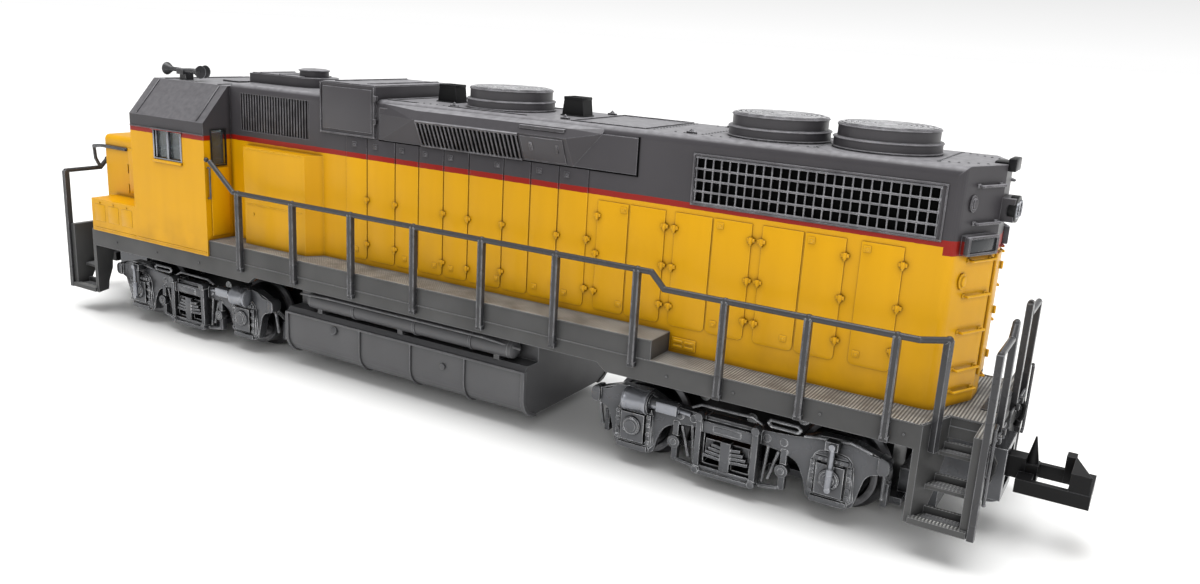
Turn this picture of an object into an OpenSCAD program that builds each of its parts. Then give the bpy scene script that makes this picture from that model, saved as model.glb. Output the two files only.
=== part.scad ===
// Scale model of a four-axle diesel road switcher, 1:160, for 9 mm gauge track.
// +X points forward (cab end), +Y to the left side, and Z = 0 is the lowest point of the
// wheel flanges. The model is symmetrical end to end in its running gear.

/* [Body] */
// Half length over the two end platforms
half_l = 51.5; // [51:0.1:52]
// Half width of the walkway
deck_hw = 9; // [8.9:0.05:9.1]
// Half width of the long hood
hood_hw = 5.7; // [5.6:0.05:5.8]
// Half width of the cab
cab_hw = 9.2; // [9:0.1:9.3]
// Half width of the short hood
nose_hw = 6; // [5.6:0.1:6.2]
// Thickness of the moulded body walls
wall = 0.7; // [0.5:0.05:0.8]

/* [Body stations along X] */
// Rear face of the cab, where the long hood starts
cab_rear_x = 27.3; // [27:0.1:28]
// Front face of the cab
cab_front_x = 39.1; // [38.5:0.1:39.5]
// Front face of the short hood
nose_x = 48.4; // [48:0.1:48.8]
// Front face of the battery boxes beside the short hood
battery_x = 46.9; // [46.4:0.1:47.2]
// Rear corner of the long hood, where the end facets start
hood_corner_x = 47.1; // [46.6:0.1:47.4]
// Flat centre of the long hood's rear end
hood_end_x = 49.2; // [49:0.1:49.5]
// Rear end of the raised walkway
raised_x = -25.6; // [-26:0.1:-25.2]

/* [Heights] */
// Top of the low walkway
deck_z = 10.2; // [10:0.1:10.3]
// Top of the raised walkway
raised_z = 11.9; // [11.7:0.1:12.1]
// Underside of the side sill near the ends
sill_end_z = 8.3; // [8.2:0.1:8.4]
// Underside of the side sill between the trucks
sill_mid_z = 9; // [8.8:0.1:9.1]
// Top of the long hood's roof
hood_z = 28.2; // [28:0.1:28.4]
// Top of the cab roof
cab_z = 27.9; // [27.7:0.1:28.1]
// Cab eave, where the sloping roof panel starts
eave_z = 24.2; // [24:0.1:24.4]
// Top of the short hood
nose_z = 20.8; // [20.4:0.1:21]
// Top of the battery boxes
battery_z = 13.9; // [13.6:0.1:14.2]
// Lower edge of the engine hatches and radiator section
hatch_z = 24.5; // [24.3:0.1:24.7]
// Rail height along the raised walkway
rail_high_z = 17.6; // [17.2:0.1:17.8]
// Rail height along the low walkway
rail_low_z = 16.4; // [16.2:0.1:16.6]

/* [Running gear] */
// Distance from the middle of the model to a truck centre
truck_x = 32.4; // [32:0.1:32.6]
// Distance from a truck centre to its axles
axle_x = 8.575; // [8.55:0.005:8.6]
// Radius of the wheel tread
wheel_r = 3.2; // [3.18:0.01:3.22]
// Depth of the wheel flange below the tread
flange_h = 0.6; // [0.5:0.05:0.6]
// Distance between the backs of the wheels
back_to_back = 7.6; // [7.5:0.05:7.65]
// Tooth size of all gears
gear_module = 0.4; // [0.4:0.001:0.401]
// Distance from the middle of the model to a coupler's tip
coupler_reach = 58.5; // [58.4:0.1:58.6]

/* [Hidden] */
$fn = 48;
ENDS = ["front", "rear"];
AXLES = ["inner", "outer"];

// Paint and materials
yellow = "#dca21a";
grey = "#66666a";
dark_grey = "#4a4a4c";
truck_grey = "#7c7c78";
plastic_black = "#1d1d1f";
engineering_plastic = "#e6e0cc";
zinc = "#8f9194";
steel = "#b6b8ba";
brass = "#c9a24a";

// Running gear
axle_z = wheel_r + flange_h;
wheel_w = 2;
wheel_back_y = back_to_back / 2;
stub_r = 0.6;
journal_r = 0.45;
teeth_axle = 12;
teeth_idler = 11;
teeth_centre = 12;
teeth_worm_wheel = 14;
centre_gear_z = axle_z + 1;
worm_pitch_r = 1.2;
worm_lead = PI * gear_module;
worm_turns = 4;
worm_throw = 0.34;
pin_r = 0.5;
pin_play = 0.03;
pitch_r_axle = gear_module * teeth_axle / 2;
pitch_r_idler = gear_module * teeth_idler / 2;
pitch_r_centre = gear_module * teeth_centre / 2;
pitch_r_worm_wheel = gear_module * teeth_worm_wheel / 2;
worm_wheel_z = centre_gear_z + pitch_r_centre + pitch_r_worm_wheel;
drive_z = worm_wheel_z + pitch_r_worm_wheel + worm_pitch_r;

// An idler meshes with an axle gear and with the centre gear, above the line between them
mesh_reach = pitch_r_axle + pitch_r_idler;
axle_to_centre = norm([axle_x, centre_gear_z - axle_z]);
idler_rise = sqrt(pow(mesh_reach, 2) - pow(axle_to_centre / 2, 2));
idler_x = axle_x / 2 + idler_rise * (centre_gear_z - axle_z) / axle_to_centre;
idler_z = (axle_z + centre_gear_z) / 2 + idler_rise * axle_x / axle_to_centre;

// Gearbox in each truck
gearbox_in = 1.8;
gearbox_out = 2.5;
tower_x = 4.9;
tower_top_z = drive_z + 2.2;
tower_in_x = 3.7;
shoulder_x = 7.6;
shoulder_z = 8.9;
frame_bottom_z = 8.6;
turntable_r = 4.4;
turntable_z = 9.6;
worm_shaft_r = 0.6;
cup_x = 7.4;
cup_in_r = 2.1;
cup_out_r = 2.4;

// Drive line in the chassis
motor_half_l = 8;
motor_hw = 3.8;
motor_r = 4.8;
motor_shaft_r = 0.75;
shaft_play = 0.03;
commutator_r = 1.4;
flywheel_r = 3.9;
flywheel_x0 = 9.8;
flywheel_x1 = 14.8;
drive_rod_r = 0.55;
drive_ball_x = truck_x - 6.4;

// Chassis frame
frame_gap = 0.8;
frame_hw = 4.8;
frame_top_z = 22.6;
screw_x = 20.5;
screw_z = 20;

// Couplers and steps
coupler_pivot_x = 18.6;
well_out_x = half_l - 4.05;
well_in_x = half_l - 2.8;
well_in_y = 5.9;
well_slant = atan((well_in_x - well_out_x) / (deck_hw - well_in_y));
post_pitch = 7.72;
post_x0 = 22.3;
post_out_y = deck_hw + 0.5;
rail_y = deck_hw + 0.25;
rail_r = 0.25;
tail_light_z = 24.95;
head_light_z = 26.3;
blower_y = 7.2;
blower_z = 22.05;
fan_x = [-40.1, -31.3, -4.7];
fan_r = 3.85;
stack_x = [-12, 2.3];

function arc(c, r, a0, a1, n) =
    [for (i = [0:n]) let (a = a0 + (a1 - a0) * i / n) [c[0] + r * cos(a), c[1] + r * sin(a)]];

// Phase of gear B's teeth so that they mesh with gear A, where phi is the direction from A to B
function mesh_phase(phase_a, teeth_a, phi, teeth_b) =
    phi + 180 - (0.5 - (phi - phase_a) * teeth_a / 360) * 360 / teeth_b;

function direction(from, to) = atan2(to[1] - from[1], to[0] - from[0]);

// Places in a truck's XZ plane, and the phases that put the whole train in mesh.
// A worm crest sits above the worm wheel, so the wheel has a gap there.
worm_wheel_at = [0, worm_wheel_z];
centre_at = [0, centre_gear_z];
phase_worm_wheel = 90 + 180 / teeth_worm_wheel;
phase_centre = mesh_phase(phase_worm_wheel, teeth_worm_wheel,
                          direction(worm_wheel_at, centre_at), teeth_centre);
function side(a) = a == "outer" ? 1 : -1;
function idler_at(a) = [side(a) * idler_x, idler_z];
function axle_at(a) = [side(a) * axle_x, axle_z];
function phase_idler(a) = mesh_phase(phase_centre, teeth_centre,
                                     direction(centre_at, idler_at(a)), teeth_idler);
function phase_axle(a) = mesh_phase(phase_idler(a), teeth_idler,
                                    direction(idler_at(a), axle_at(a)), teeth_axle);

// ---- Helpers ----

module box(a, b) translate(a) cube(b - a);

// A [y, z] outline pushed along X
module yz_prism(x0, x1) translate([x0, 0, 0]) rotate([90, 0, 90]) linear_extrude(x1 - x0) children();

// An [x, z] outline pushed along Y
module xz_prism(y0, y1) translate([0, y1, 0]) rotate([90, 0, 0]) linear_extrude(y1 - y0) children();

// A polygon from the points of its right half, in order from the bottom to the top
module mirrored_outline(half)
    polygon(concat(half, [for (i = [len(half) - 1:-1:0]) [-half[i][0], half[i][1]]]));

module both_sides() {
    children();
    mirror([0, 1, 0]) children();
}

module both_ends() {
    children();
    mirror([1, 0, 0]) children();
}

module rod_x(x0, x1, r) yz_prism(x0, x1) circle(r);
module rod_y(y0, y1, r) xz_prism(y0, y1) circle(r);

// A round bar with ball ends between two points in a plane of constant Y
module bar(a, b, r) {
    reach = norm(b - a);
    tilt = acos((b[2] - a[2]) / reach);
    turn = atan2(b[1] - a[1], b[0] - a[0]);
    translate(a) rotate([0, tilt, turn]) cylinder(h = reach, r = r);
    translate(b) sphere(r);
}

module at_end(end) rotate([0, 0, end == "front" ? 0 : 180]) children();

// Places a part drawn about a truck's centre, with +X towards the model's end
module at_truck(end) at_end(end) translate([truck_x, 0, 0]) children();

// ---- Gears ----

// Trapezoid teeth with backlash, on a ring with a twelve-sided bore
module gear_outline(teeth, phase, bore) {
    pitch_r = gear_module * teeth / 2;
    root_r = pitch_r - 1.15 * gear_module;
    tip_r = pitch_r + 0.7 * gear_module;
    root_w = 0.26 * PI * gear_module;
    pitch_w = 0.205 * PI * gear_module;
    tip_w = 0.11 * PI * gear_module;
    tooth = [[root_r, -root_w], [pitch_r, -pitch_w], [tip_r, -tip_w],
             [tip_r, tip_w], [pitch_r, pitch_w], [root_r, root_w]];
    difference() {
        polygon([for (k = [0:teeth - 1], p = tooth) let (a = phase + k * 360 / teeth)
                 [p[0] * cos(a) - p[1] * sin(a), p[0] * sin(a) + p[1] * cos(a)]]);
        circle(bore / cos(15), $fn = 12);
    }
}

module gear_at(at, teeth, phase, half_w, bore) {
    translate([at[0], 0, at[1]]) xz_prism(-half_w, half_w) gear_outline(teeth, phase, bore);
}

module worm() color(brass) {
    half = worm_turns * worm_lead / 2;
    difference() {
        translate([-half, 0, drive_z]) rotate([0, 90, 0])
            linear_extrude(2 * half, twist = -360 * worm_turns, slices = 16 * worm_turns, $fn = 16)
                translate([worm_throw, 0]) circle(worm_pitch_r);
        translate([0, 0, drive_z]) rod_x(-half - 1, half + 1, worm_shaft_r);
    }
}

// Shaft with a cup at its inner end that the drive shaft's ball sits in
module worm_shaft() color(steel) {
    translate([0, 0, drive_z]) {
        rod_x(-5.6, 5.1, worm_shaft_r);
        rotate([0, -90, 0]) rotate_extrude()
            polygon([[0, 5.2], [cup_out_r, 5.2], [cup_out_r, cup_x], [cup_in_r, cup_x],
                     [cup_in_r, 5.6], [0, 5.6]]);
    }
}

module worm_bearings() color(brass) {
    for (s = [-1, 1]) translate([s * 4.3, 0, drive_z]) difference() {
        rod_x(-0.6, 0.6, 1.3);
        rod_x(-1, 1, worm_shaft_r + shaft_play);
    }
}

module worm_wheel() color(engineering_plastic) {
    gear_at(worm_wheel_at, teeth_worm_wheel, phase_worm_wheel, 0.8, pin_r + pin_play);
    for (s = [-1, 1]) translate([0, s * 1.22, worm_wheel_z]) xz_prism(-0.42, 0.42) difference() {
        circle(1.2, $fn = 12);
        circle((pin_r + pin_play) / cos(15), $fn = 12);
    }
}

module centre_gear() color(engineering_plastic)
    gear_at(centre_at, teeth_centre, phase_centre, 1.5, pin_r + pin_play);

module idler(a) color(engineering_plastic)
    gear_at(idler_at(a), teeth_idler, phase_idler(a), 1.5, pin_r + pin_play);

// Gear and sleeve that grip the two wheel stubs and keep the wheels insulated
module axle_gear(a) color(engineering_plastic) {
    gear_at(axle_at(a), teeth_axle, phase_axle(a), 1.5, stub_r);
    for (s = [-1, 1]) translate([side(a) * axle_x, s * 2.5, axle_z]) xz_prism(-1, 1) difference() {
        circle(1.25, $fn = 12);
        circle(stub_r / cos(15), $fn = 12);
    }
}

module gear_pins() color(steel)
    for (p = [worm_wheel_at, centre_at, idler_at("inner"), idler_at("outer")])
        translate([p[0], 0, p[1]]) rod_y(-gearbox_out, gearbox_out, pin_r);

// ---- Wheels ----

// Half section of one wheel with its stub and journal: [radius, distance from the middle]
module wheel_section() {
    y = wheel_back_y;
    polygon([[0, 0.4], [stub_r, 0.4], [stub_r, y - 0.2], [1.3, y - 0.2], [1.3, y + 0.2],
             [2.6, y + 0.2], [2.6, y], [wheel_r + flange_h - 0.15, y],
             [wheel_r + flange_h, y + 0.15], [wheel_r + flange_h - 0.1, y + 0.35],
             [wheel_r + 0.1, y + 0.55], [wheel_r, y + 0.75], [wheel_r - 0.08, y + wheel_w],
             [wheel_r - 0.6, y + wheel_w], [wheel_r - 0.75, y + wheel_w - 0.35],
             [1.2, y + wheel_w - 0.5], [1.1, y + wheel_w], [journal_r, y + wheel_w],
             [journal_r, y + wheel_w + 0.9], [0, y + wheel_w + 1.05]]);
}

module wheels(a) color(steel)
    both_sides() translate([side(a) * axle_x, 0, axle_z]) rotate([-90, 0, 0])
        rotate_extrude() wheel_section();

// ---- Truck ----

module truck_housing() color(plastic_black) {
    body = [[11.9, 1.7], [11.9, 6.8], [shoulder_x, 7.3], [shoulder_x, shoulder_z], [tower_x, shoulder_z],
            [tower_x, tower_top_z]];
    inside = [[11.3, 1], [11.3, 6.3], [shoulder_x - 0.5, 6.8], [shoulder_x - 0.5, shoulder_z - 0.42],
              [tower_in_x, shoulder_z - 0.42], [tower_in_x, tower_top_z - 0.5]];
    difference() {
        union() {
            xz_prism(-gearbox_out, gearbox_out) mirrored_outline(body);
            translate([0, 0, shoulder_z]) cylinder(h = turntable_z - shoulder_z, r = turntable_r);
        }
        xz_prism(-gearbox_in, gearbox_in) mirrored_outline(inside);
        for (s = [-1, 1]) {
            translate([s * axle_x, 0, axle_z]) rod_y(-3, 3, 1.45);
            box([s * axle_x - 1.45, -3, 1], [s * axle_x + 1.45, 3, axle_z]);
        }
        translate([0, 0, drive_z]) rod_x(-6, 6, 1.3);
        for (p = [worm_wheel_at, centre_at, idler_at("inner"), idler_at("outer")])
            translate([p[0], 0, p[1]]) rod_y(-3, 3, pin_r);
    }
}

// Bronze bars along the gearbox with a wiper behind each wheel
module pickup_strips() color(brass)
    both_sides() {
        box([-10.4, gearbox_out, 6.1], [10.4, gearbox_out + 0.2, 6.6]);
        for (s = [-1, 1])
            box([s * axle_x - 0.4, gearbox_out + 0.2, 6.2], [s * axle_x + 0.4, wheel_back_y - 0.05, 6.5]);
    }

// Outline of the cast side frame, one half, from the middle to the outer end
function frame_edge(s) = [[s * 2.3, 4.9], [s * 5, 4.9], [s * 6.2, 4.3], [s * 6.9, 1.7], [s * 10.4, 1.7],
                          [s * 10.9, 4.6], [s * 12.2, 5.2], [s * 12.2, 6.2], [s * 10.2, 6.9],
                          [s * 7.4, 6.9], [s * 6, 6.3], [s * 3, 6.1]];

module sideframe_plate() {
    left = frame_edge(-1);
    right = frame_edge(1);
    xz_prism(6.4, 7.3) polygon(concat(right, [for (i = [len(left) - 1:-1:0]) left[i]]));
    // Swing hanger with its spring plank, leaf spring and journal boxes
    for (s = [-1, 1]) box([s > 0 ? 2 : -2.5, 6.4, 1.4], [s > 0 ? 2.5 : -2, 7.7, 6.2]);
    box([-2, 6.4, 1.4], [2, 7.7, 2.2]);
    box([-1.9, 6.6, 3.1], [1.9, 7.6, 4.3]);
    box([-0.5, 6.4, 2.2], [0.5, 7.7, 3.1]);
    for (s = [-1, 1]) {
        box([s * axle_x - 1.1, 7.3, 2.4], [s * axle_x + 1.1, 8, 4.9]);
        translate([s * axle_x, 0, axle_z]) rod_y(8, 8.25, 0.7);
    }
    // Brake cylinder and piston at the inner end, shock absorber at the outer end
    translate([0, 7.55, 6]) rod_x(-9.5, -7.1, 0.95);
    translate([0, 7.55, 6.1]) rod_x(-7.1, -4.6, 0.5);
    translate([axle_x, 8, 4.2]) cylinder(h = 2.3, r = 0.28);
    box([axle_x - 0.5, 7.3, 6.2], [axle_x + 0.5, 8.3, 6.9]);
}

// Side frames, bottom cover and coupler pocket are one moulding that clips to the gearbox
module truck_sideframes() color(truck_grey) {
    difference() {
        union() {
            both_sides() difference() {
                sideframe_plate();
                for (s = [-1, 1]) translate([s * axle_x, 0, axle_z]) rod_y(6, 7.1, journal_r + 0.05);
            }
            box([-13.2, -3.4, 1.1], [13.2, 3.4, 1.7]);
            box([-2.2, -6.4, 1.1], [2.2, 6.4, 1.7]);
            both_sides() box([-2.2, 6.2, 1.1], [2.2, 6.9, 1.6]);
            box([12.5, -2, 1.1], [15.6, 2, 3.7]);
            box([15, -2.2, 3.1], [20.1, 2.2, 7.3]);
            translate([coupler_pivot_x, 0, 2.4]) cylinder(h = 0.8, r = 1.3);
        }
        for (s = [-1, 1]) box([s * axle_x - 2.9, -1.9, 0], [s * axle_x + 2.9, 1.9, 2]);
        coupler_pocket();
    }
}

// Space inside the coupler pocket, with a flared mouth for the swinging shank
module coupler_pocket() {
    translate([coupler_pivot_x, 0, 3.8]) cylinder(h = 3, r = 1.5);
    box([15.6, -1.5, 3.8], [coupler_pivot_x, 1.5, 6.8]);
    translate([0, 0, 3.8]) linear_extrude(3)
        polygon([[coupler_pivot_x, -1], [21, -1.7], [21, 1.7], [coupler_pivot_x, 1]]);
}

// ---- Coupler ----

// Hook coupler: pivot post, square shank with a pointed hook at its end, and a low open frame of a
// head with a three-cornered raised lip
module coupler() color(plastic_black) {
    x = coupler_pivot_x;
    tip = coupler_reach - truck_x;
    head = tip - 5.2;
    translate([x, 0, 4.1]) cylinder(h = 2.4, r = 1.1);
    box([x, -0.7, 4.7], [head + 0.4, 0.7, 6.4]);
    box([head + 0.2, -0.65, 4.5], [head + 1.3, 0.65, 6]);
    translate([head + 0.8, 0, 5.9]) cylinder(h = 2.2, r1 = 0.5, r2 = 0.06);
    difference() {
        box([head, -2.3, 4.2], [tip, 2.3, 5.3]);
        box([head + 1.1, -1.8, 4], [tip - 1.6, 1.8, 5.5]);
    }
    translate([0, 0, 4.6]) linear_extrude(2.1)
        polygon([[tip - 1.55, -2.25], [tip - 0.1, -2.25], [tip - 1.55, 1.5]]);
    box([tip - 2.2, 1.1, 4.6], [tip - 1.5, 2.2, 6.7]);
}

module coupler_spring() color(steel)
    translate([15.9, 0, 5.3]) rotate([0, 90, 0])
        linear_extrude(1.4, twist = -360 * 3, slices = 36, $fn = 8) translate([0.55, 0]) circle(0.22);

// ---- Chassis ----

module frame_half() color(zinc) {
    y0 = frame_gap / 2;
    difference() {
        union() {
            box([-46, y0, frame_bottom_z], [44, frame_hw, 12.6]);
            box([-44.5, y0, 12.6], [25.5, frame_hw, frame_top_z]);
            box([-11.6, y0, 2.4], [16.2, frame_hw, frame_bottom_z]);
        }
        // Motor, flywheels and drive shafts
        box([-motor_half_l - 0.3, 0, drive_z - motor_r - 0.2],
            [motor_half_l + 0.3, motor_hw + 0.2, drive_z + motor_r + 0.2]);
        translate([0, 0, drive_z]) {
            rod_x(-flywheel_x1 - 0.5, flywheel_x1 + 0.5, flywheel_r + 0.35);
            rod_x(-truck_x, truck_x, 1.5);
        }
        // Room for the truck towers, the shaft cups and the turntables
        both_ends() {
            box([truck_x - 9, 0, 5], [truck_x + 9, 6, shoulder_z + 0.2]);
            box([truck_x - cup_x - 1, 0, drive_z - 3.3], [truck_x, 3.75, drive_z + 3]);
            box([truck_x - 6.4, 0, 5], [truck_x + 6.4, 3.75, tower_top_z + 0.5]);
            translate([truck_x, 0, 5]) cylinder(h = turntable_z + 0.08 - 5, r = turntable_r + 0.1);
        }
        for (s = [-1, 1]) translate([s * screw_x, 0, screw_z]) {
            rod_y(0, 6, 0.8);
            rod_y(frame_hw - 0.9, 6, 1.5);
        }
    }
}

module frame_left() frame_half();
module frame_right() mirror([0, 1, 0]) frame_half();

// Cross screws with their nuts and the insulating washers between the frame halves
module frame_fasteners() color(steel)
    for (s = [-1, 1]) translate([s * screw_x, 0, screw_z]) {
        difference() {
            union() {
                rod_y(-frame_hw + 0.2, frame_hw - 0.9, 0.7);
                rod_y(frame_hw - 0.9, frame_hw - 0.1, 1.4);
            }
            box([-1.2, frame_hw - 0.4, -0.15], [1.2, frame_hw, 0.15]);
        }
        difference() {
            translate([0, -frame_hw + 0.85, 0]) xz_prism(-0.7, 0) circle(1.35, $fn = 6);
            rod_y(-6, 6, 0.7);
        }
        difference() {
            rod_y(-frame_gap / 2, frame_gap / 2, 1.8);
            rod_y(-1, 1, 0.75);
        }
    }

// ---- Motor ----

module motor_outline(inset) intersection() {
    circle(motor_r - inset);
    square([2 * (motor_hw - inset), 2 * motor_r], center = true);
}

module motor_can() color(steel)
    translate([0, 0, drive_z]) difference() {
        yz_prism(-motor_half_l, motor_half_l - 1.4) motor_outline(0);
        yz_prism(-motor_half_l + 0.6, motor_half_l) motor_outline(0.5);
        rod_x(-9, 0, 1.5);
    }

module motor_magnets() color(dark_grey)
    translate([0, 0, drive_z]) for (s = [0, 180]) rotate([s, 0, 0])
        yz_prism(-5.5, 4.5) intersection() {
            difference() {
                motor_outline(0.5);
                circle(3.3);
            }
            translate([-2.6, 1]) square([5.2, 5]);
        }

module motor_bearings() color(brass)
    translate([0, 0, drive_z]) for (s = [-1, 1]) translate([s * 7.3, 0, 0]) difference() {
        rod_x(-0.7, 0.7, 1.5);
        rod_x(-1, 1, motor_shaft_r + shaft_play);
    }

// Plastic end plate with two carbon brushes against the commutator
module motor_brush_plate() color(engineering_plastic) {
    translate([0, 0, drive_z]) {
        difference() {
            yz_prism(motor_half_l - 1.4, motor_half_l) motor_outline(0);
            rod_x(0, 9, 1.5);
        }
        both_sides() {
            box([4.8, commutator_r + 0.02, -0.5], [5.8, 3.2, 0.5]);
            box([5.8, 2.4, -0.5], [7, 3.2, 0.5]);
        }
    }
}

// Three-pole lamination stack
module armature() color("#7a4a2a")
    translate([0, 0, drive_z]) yz_prism(-4.5, 3.5) difference() {
        union() {
            circle(1.7);
            for (k = [0:2]) rotate(120 * k) {
                translate([0, -0.6]) square([2.6, 1.2]);
                intersection() {
                    circle(2.9);
                    translate([2.3, -1.7]) square([1, 3.4]);
                }
            }
        }
        circle(motor_shaft_r);
    }

module commutator() color("#b87333")
    translate([0, 0, drive_z]) difference() {
        rod_x(4.2, 6.4, commutator_r);
        rod_x(4, 7, motor_shaft_r);
    }

module motor_shaft() color(steel) translate([0, 0, drive_z]) rod_x(-12.8, 12.8, motor_shaft_r);

// Each flywheel is pressed on the shaft and has a socket for a drive shaft's ball
module flywheels() color(brass)
    translate([0, 0, drive_z]) for (s = [0, 180]) rotate([0, 0, s]) difference() {
        rod_x(flywheel_x0, flywheel_x1, flywheel_r);
        rod_x(0, flywheel_x1, motor_shaft_r);
        rod_x(12.8, 16, 1.7);
    }

// Drive shaft with a ball and cross pin at each end
module drive_shaft() color(engineering_plastic)
    translate([0, 0, drive_z]) {
        rod_x(13.9, drive_ball_x, drive_rod_r);
        for (x = [13.9, drive_ball_x]) translate([x, 0, 0]) {
            sphere(0.7);
            translate([0, 0, -1]) cylinder(h = 2, r = 0.25);
        }
    }

module light_board() {
    color("#2f6b3a") box([-44, -4, frame_top_z], [25, 4, frame_top_z + 0.6]);
    color("white") for (x = [-45, 25]) box([x, -1, frame_top_z], [x + 1, 1, frame_top_z + 1.2]);
}

// ---- Body shell ----

// Long hood cross-section, with rounded roof edges
module hood_section(inset) {
    r = 0.8;
    hw = hood_hw - inset;
    top = hood_z - inset;
    translate([-hw, 0]) square([2 * hw, top - r]);
    translate([r - hw, 0]) square([2 * (hw - r), top]);
    for (s = [-1, 1]) translate([s * (hw - r), top - r]) circle(r);
}

// Long hood from above: square at the cab, with a shallow vee at the rear end
module hood_plan(inset, front) {
    r = 0.8;
    hw = hood_hw - inset;
    facet = 65;
    corner = arc([-hood_corner_x + inset + r * tan(facet / 2), hw - r], r, 90, 90 + facet, 5);
    tail = [[-hood_end_x + inset, 1.2]];
    half = concat([[front, hw]], corner, tail);
    polygon(concat(half, [for (i = [len(half) - 1:-1:0]) [half[i][0], -half[i][1]]]));
}

module hood_shape(inset, front) intersection() {
    yz_prism(-60, front) hood_section(inset);
    translate([0, 0, deck_z - 1]) linear_extrude(hood_z) hood_plan(inset, front);
}

// One side of the brake hatch, which bulges over the hood side and runs out at both ends
module brake_bulge() hull() {
    y = hood_hw;
    inner = [[6.2, y - 0.2, hatch_z], [6.2, y - 0.2, 27.9], [1.4, y - 0.2, 27.95],
             [-15.2, y - 0.2, 27.95], [-18.1, y - 0.2, 27.9], [-15.4, y - 0.2, hatch_z]];
    crest = [[1.4, y + 0.7, 27.7], [1.4, y + 1.2, 26.9], [-15.2, y + 0.7, 27.7], [-15.2, y + 1.2, 26.9]];
    foot = [[6.2, y + 0.15, 26.9], [6.2, y + 0.15, hatch_z], [1.4, y + 0.15, hatch_z],
            [-15.4, y + 0.15, hatch_z], [-18.1, y + 0.15, 27.5]];
    for (p = concat(inner, crest, foot))
        translate(p) cube(0.02, center = true);
}

module long_hood() color(yellow) {
    difference() {
        union() {
            hood_shape(0, cab_rear_x);
            both_sides() {
                box([-21.5, 4, hatch_z], [6.4, hood_hw + 0.15, 27.5]);
                brake_bulge();
            }
            // Air filter housing across the hood behind the cab
            box([6.9, -hood_hw - 0.15, hatch_z], [14.1, hood_hw + 0.15, 29.4]);
            // Low duct and its cap on the roof, up against the cab
            box([20.8, -2.5, hood_z - 0.2], [27.8, 2.5, 29.2]);
            translate([20.8, 0, hood_z - 0.2]) cylinder(h = 1.2, r = 2.5);
            translate([20.8, 0, 29]) cylinder(h = 0.9, r = 1.5);
            both_sides() number_board_box();
            // Blower housing over the left walkway, behind the cab
            translate([0, 0, raised_z]) linear_extrude(blower_z - raised_z)
                polygon([[13.9, 5], [13.9, hood_hw], [15, blower_y], [23.7, blower_y],
                         [24.8, hood_hw], [24.8, 5]]);
            box([-hood_end_x - 0.9, -1.3, tail_light_z - 0.85],
                [-hood_end_x + 0.2, 1.3, tail_light_z + 0.85]);
        }
        hood_shape(wall, cab_rear_x + 1);
        box([-60, -7, 0], [60, 7, deck_z]);
        box([raised_x, -7, 0], [60, 7, raised_z]);
        both_sides() {
            // Radiator grille and engine room intake, as shallow pockets
            box([-45.8, hood_hw - 0.35, 22.9], [-26.7, hood_hw + 1, 26.7]);
            box([15.8, hood_hw - 0.35, 23.5], [25.6, hood_hw + 1, 27.3]);
        }
        for (y = [-0.62, 0.62]) translate([0, y, tail_light_z]) rod_x(-60, -hood_end_x - 0.5, 0.5);
    }
}

// Number board on a facet of the rear end
module number_board_box()
    translate([-48.15, 3.45, 21.9]) rotate([0, 0, 65]) box([-1.7, -0.4, 0], [1.7, 0.5, 1.4]);

// Cab cross-section with sloping roof panels
module cab_section(inset) {
    hw = cab_hw - inset;
    mirrored_outline([[hw, deck_z], [hw, eave_z - inset / 2], [5.9 - inset / 2, cab_z - inset]]);
}

module nose_section(inset) {
    r = 0.6;
    hw = nose_hw - inset;
    top = nose_z - inset;
    translate([-hw, deck_z]) square([2 * hw, top - r - deck_z]);
    translate([r - hw, deck_z]) square([2 * (hw - r), top - deck_z]);
    for (s = [-1, 1]) translate([s * (hw - r), top - r]) circle(r);
}

// Window openings as [low corner, high corner] boxes that pass right through their wall
side_window = [[30.9, 7, 19.9], [35.1, 10, 22.8]];
front_window = [[38, 0.5, 21.5], [40, 3.9, 25.2]];
front_door_window = [[38, 6.5, 19.4], [40, 8.3, 23.3]];
rear_window = [[26.5, 6.5, 19.8], [28.5, 8.2, 23.4]];

module cab_windows() both_sides()
    for (w = [side_window, front_window, front_door_window, rear_window]) box(w[0], w[1]);

module cab() color(yellow) {
    difference() {
        union() {
            yz_prism(cab_rear_x, cab_front_x) cab_section(0);
            yz_prism(cab_front_x, nose_x) nose_section(0);
            both_sides() box([cab_front_x, nose_hw - 0.5, deck_z], [battery_x, cab_hw, battery_z]);
            both_sides() box([cab_front_x, 1, 25.6], [cab_front_x + 0.5, 4.4, 27]);
        }
        yz_prism(cab_rear_x + wall, cab_front_x - wall) cab_section(wall);
        yz_prism(cab_front_x - 1, nose_x - wall) nose_section(wall);
        box([cab_rear_x - 1, -hood_hw + wall, deck_z], [cab_rear_x + 1, hood_hw - wall, 27]);
        both_sides() box([cab_front_x - 0.3, nose_hw, 0],
                         [battery_x - wall, cab_hw - wall, battery_z - wall]);
        cab_windows();
        for (s = [-1, 1]) translate([0, s * 0.62, head_light_z]) rod_x(cab_front_x - 1, cab_front_x + 1, 0.5);
    }
}

// Clear panes set into the window openings
module cab_glazing() color("#9fb4bd", 0.5) {
    pane = 0.3;
    both_sides() {
        box([side_window[0][0], cab_hw - 0.6, side_window[0][2]],
            [side_window[1][0], cab_hw - 0.6 + pane, side_window[1][2]]);
        for (w = [front_window, front_door_window])
            box([cab_front_x - 0.6, w[0][1], w[0][2]], [cab_front_x - 0.6 + pane, w[1][1], w[1][2]]);
        box([cab_rear_x + 0.3, rear_window[0][1], rear_window[0][2]],
            [cab_rear_x + 0.3 + pane, rear_window[1][1], rear_window[1][2]]);
    }
}

// Clear headlight lenses at both ends
module light_lenses() color("#f2f2e6")
    for (s = [-1, 1]) {
        translate([0, s * 0.62, head_light_z]) rod_x(cab_front_x - 0.5, cab_front_x + 0.15, 0.5);
        translate([0, s * 0.62, tail_light_z]) rod_x(-hood_end_x - 0.95, -hood_end_x - 0.5, 0.5);
    }

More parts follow.
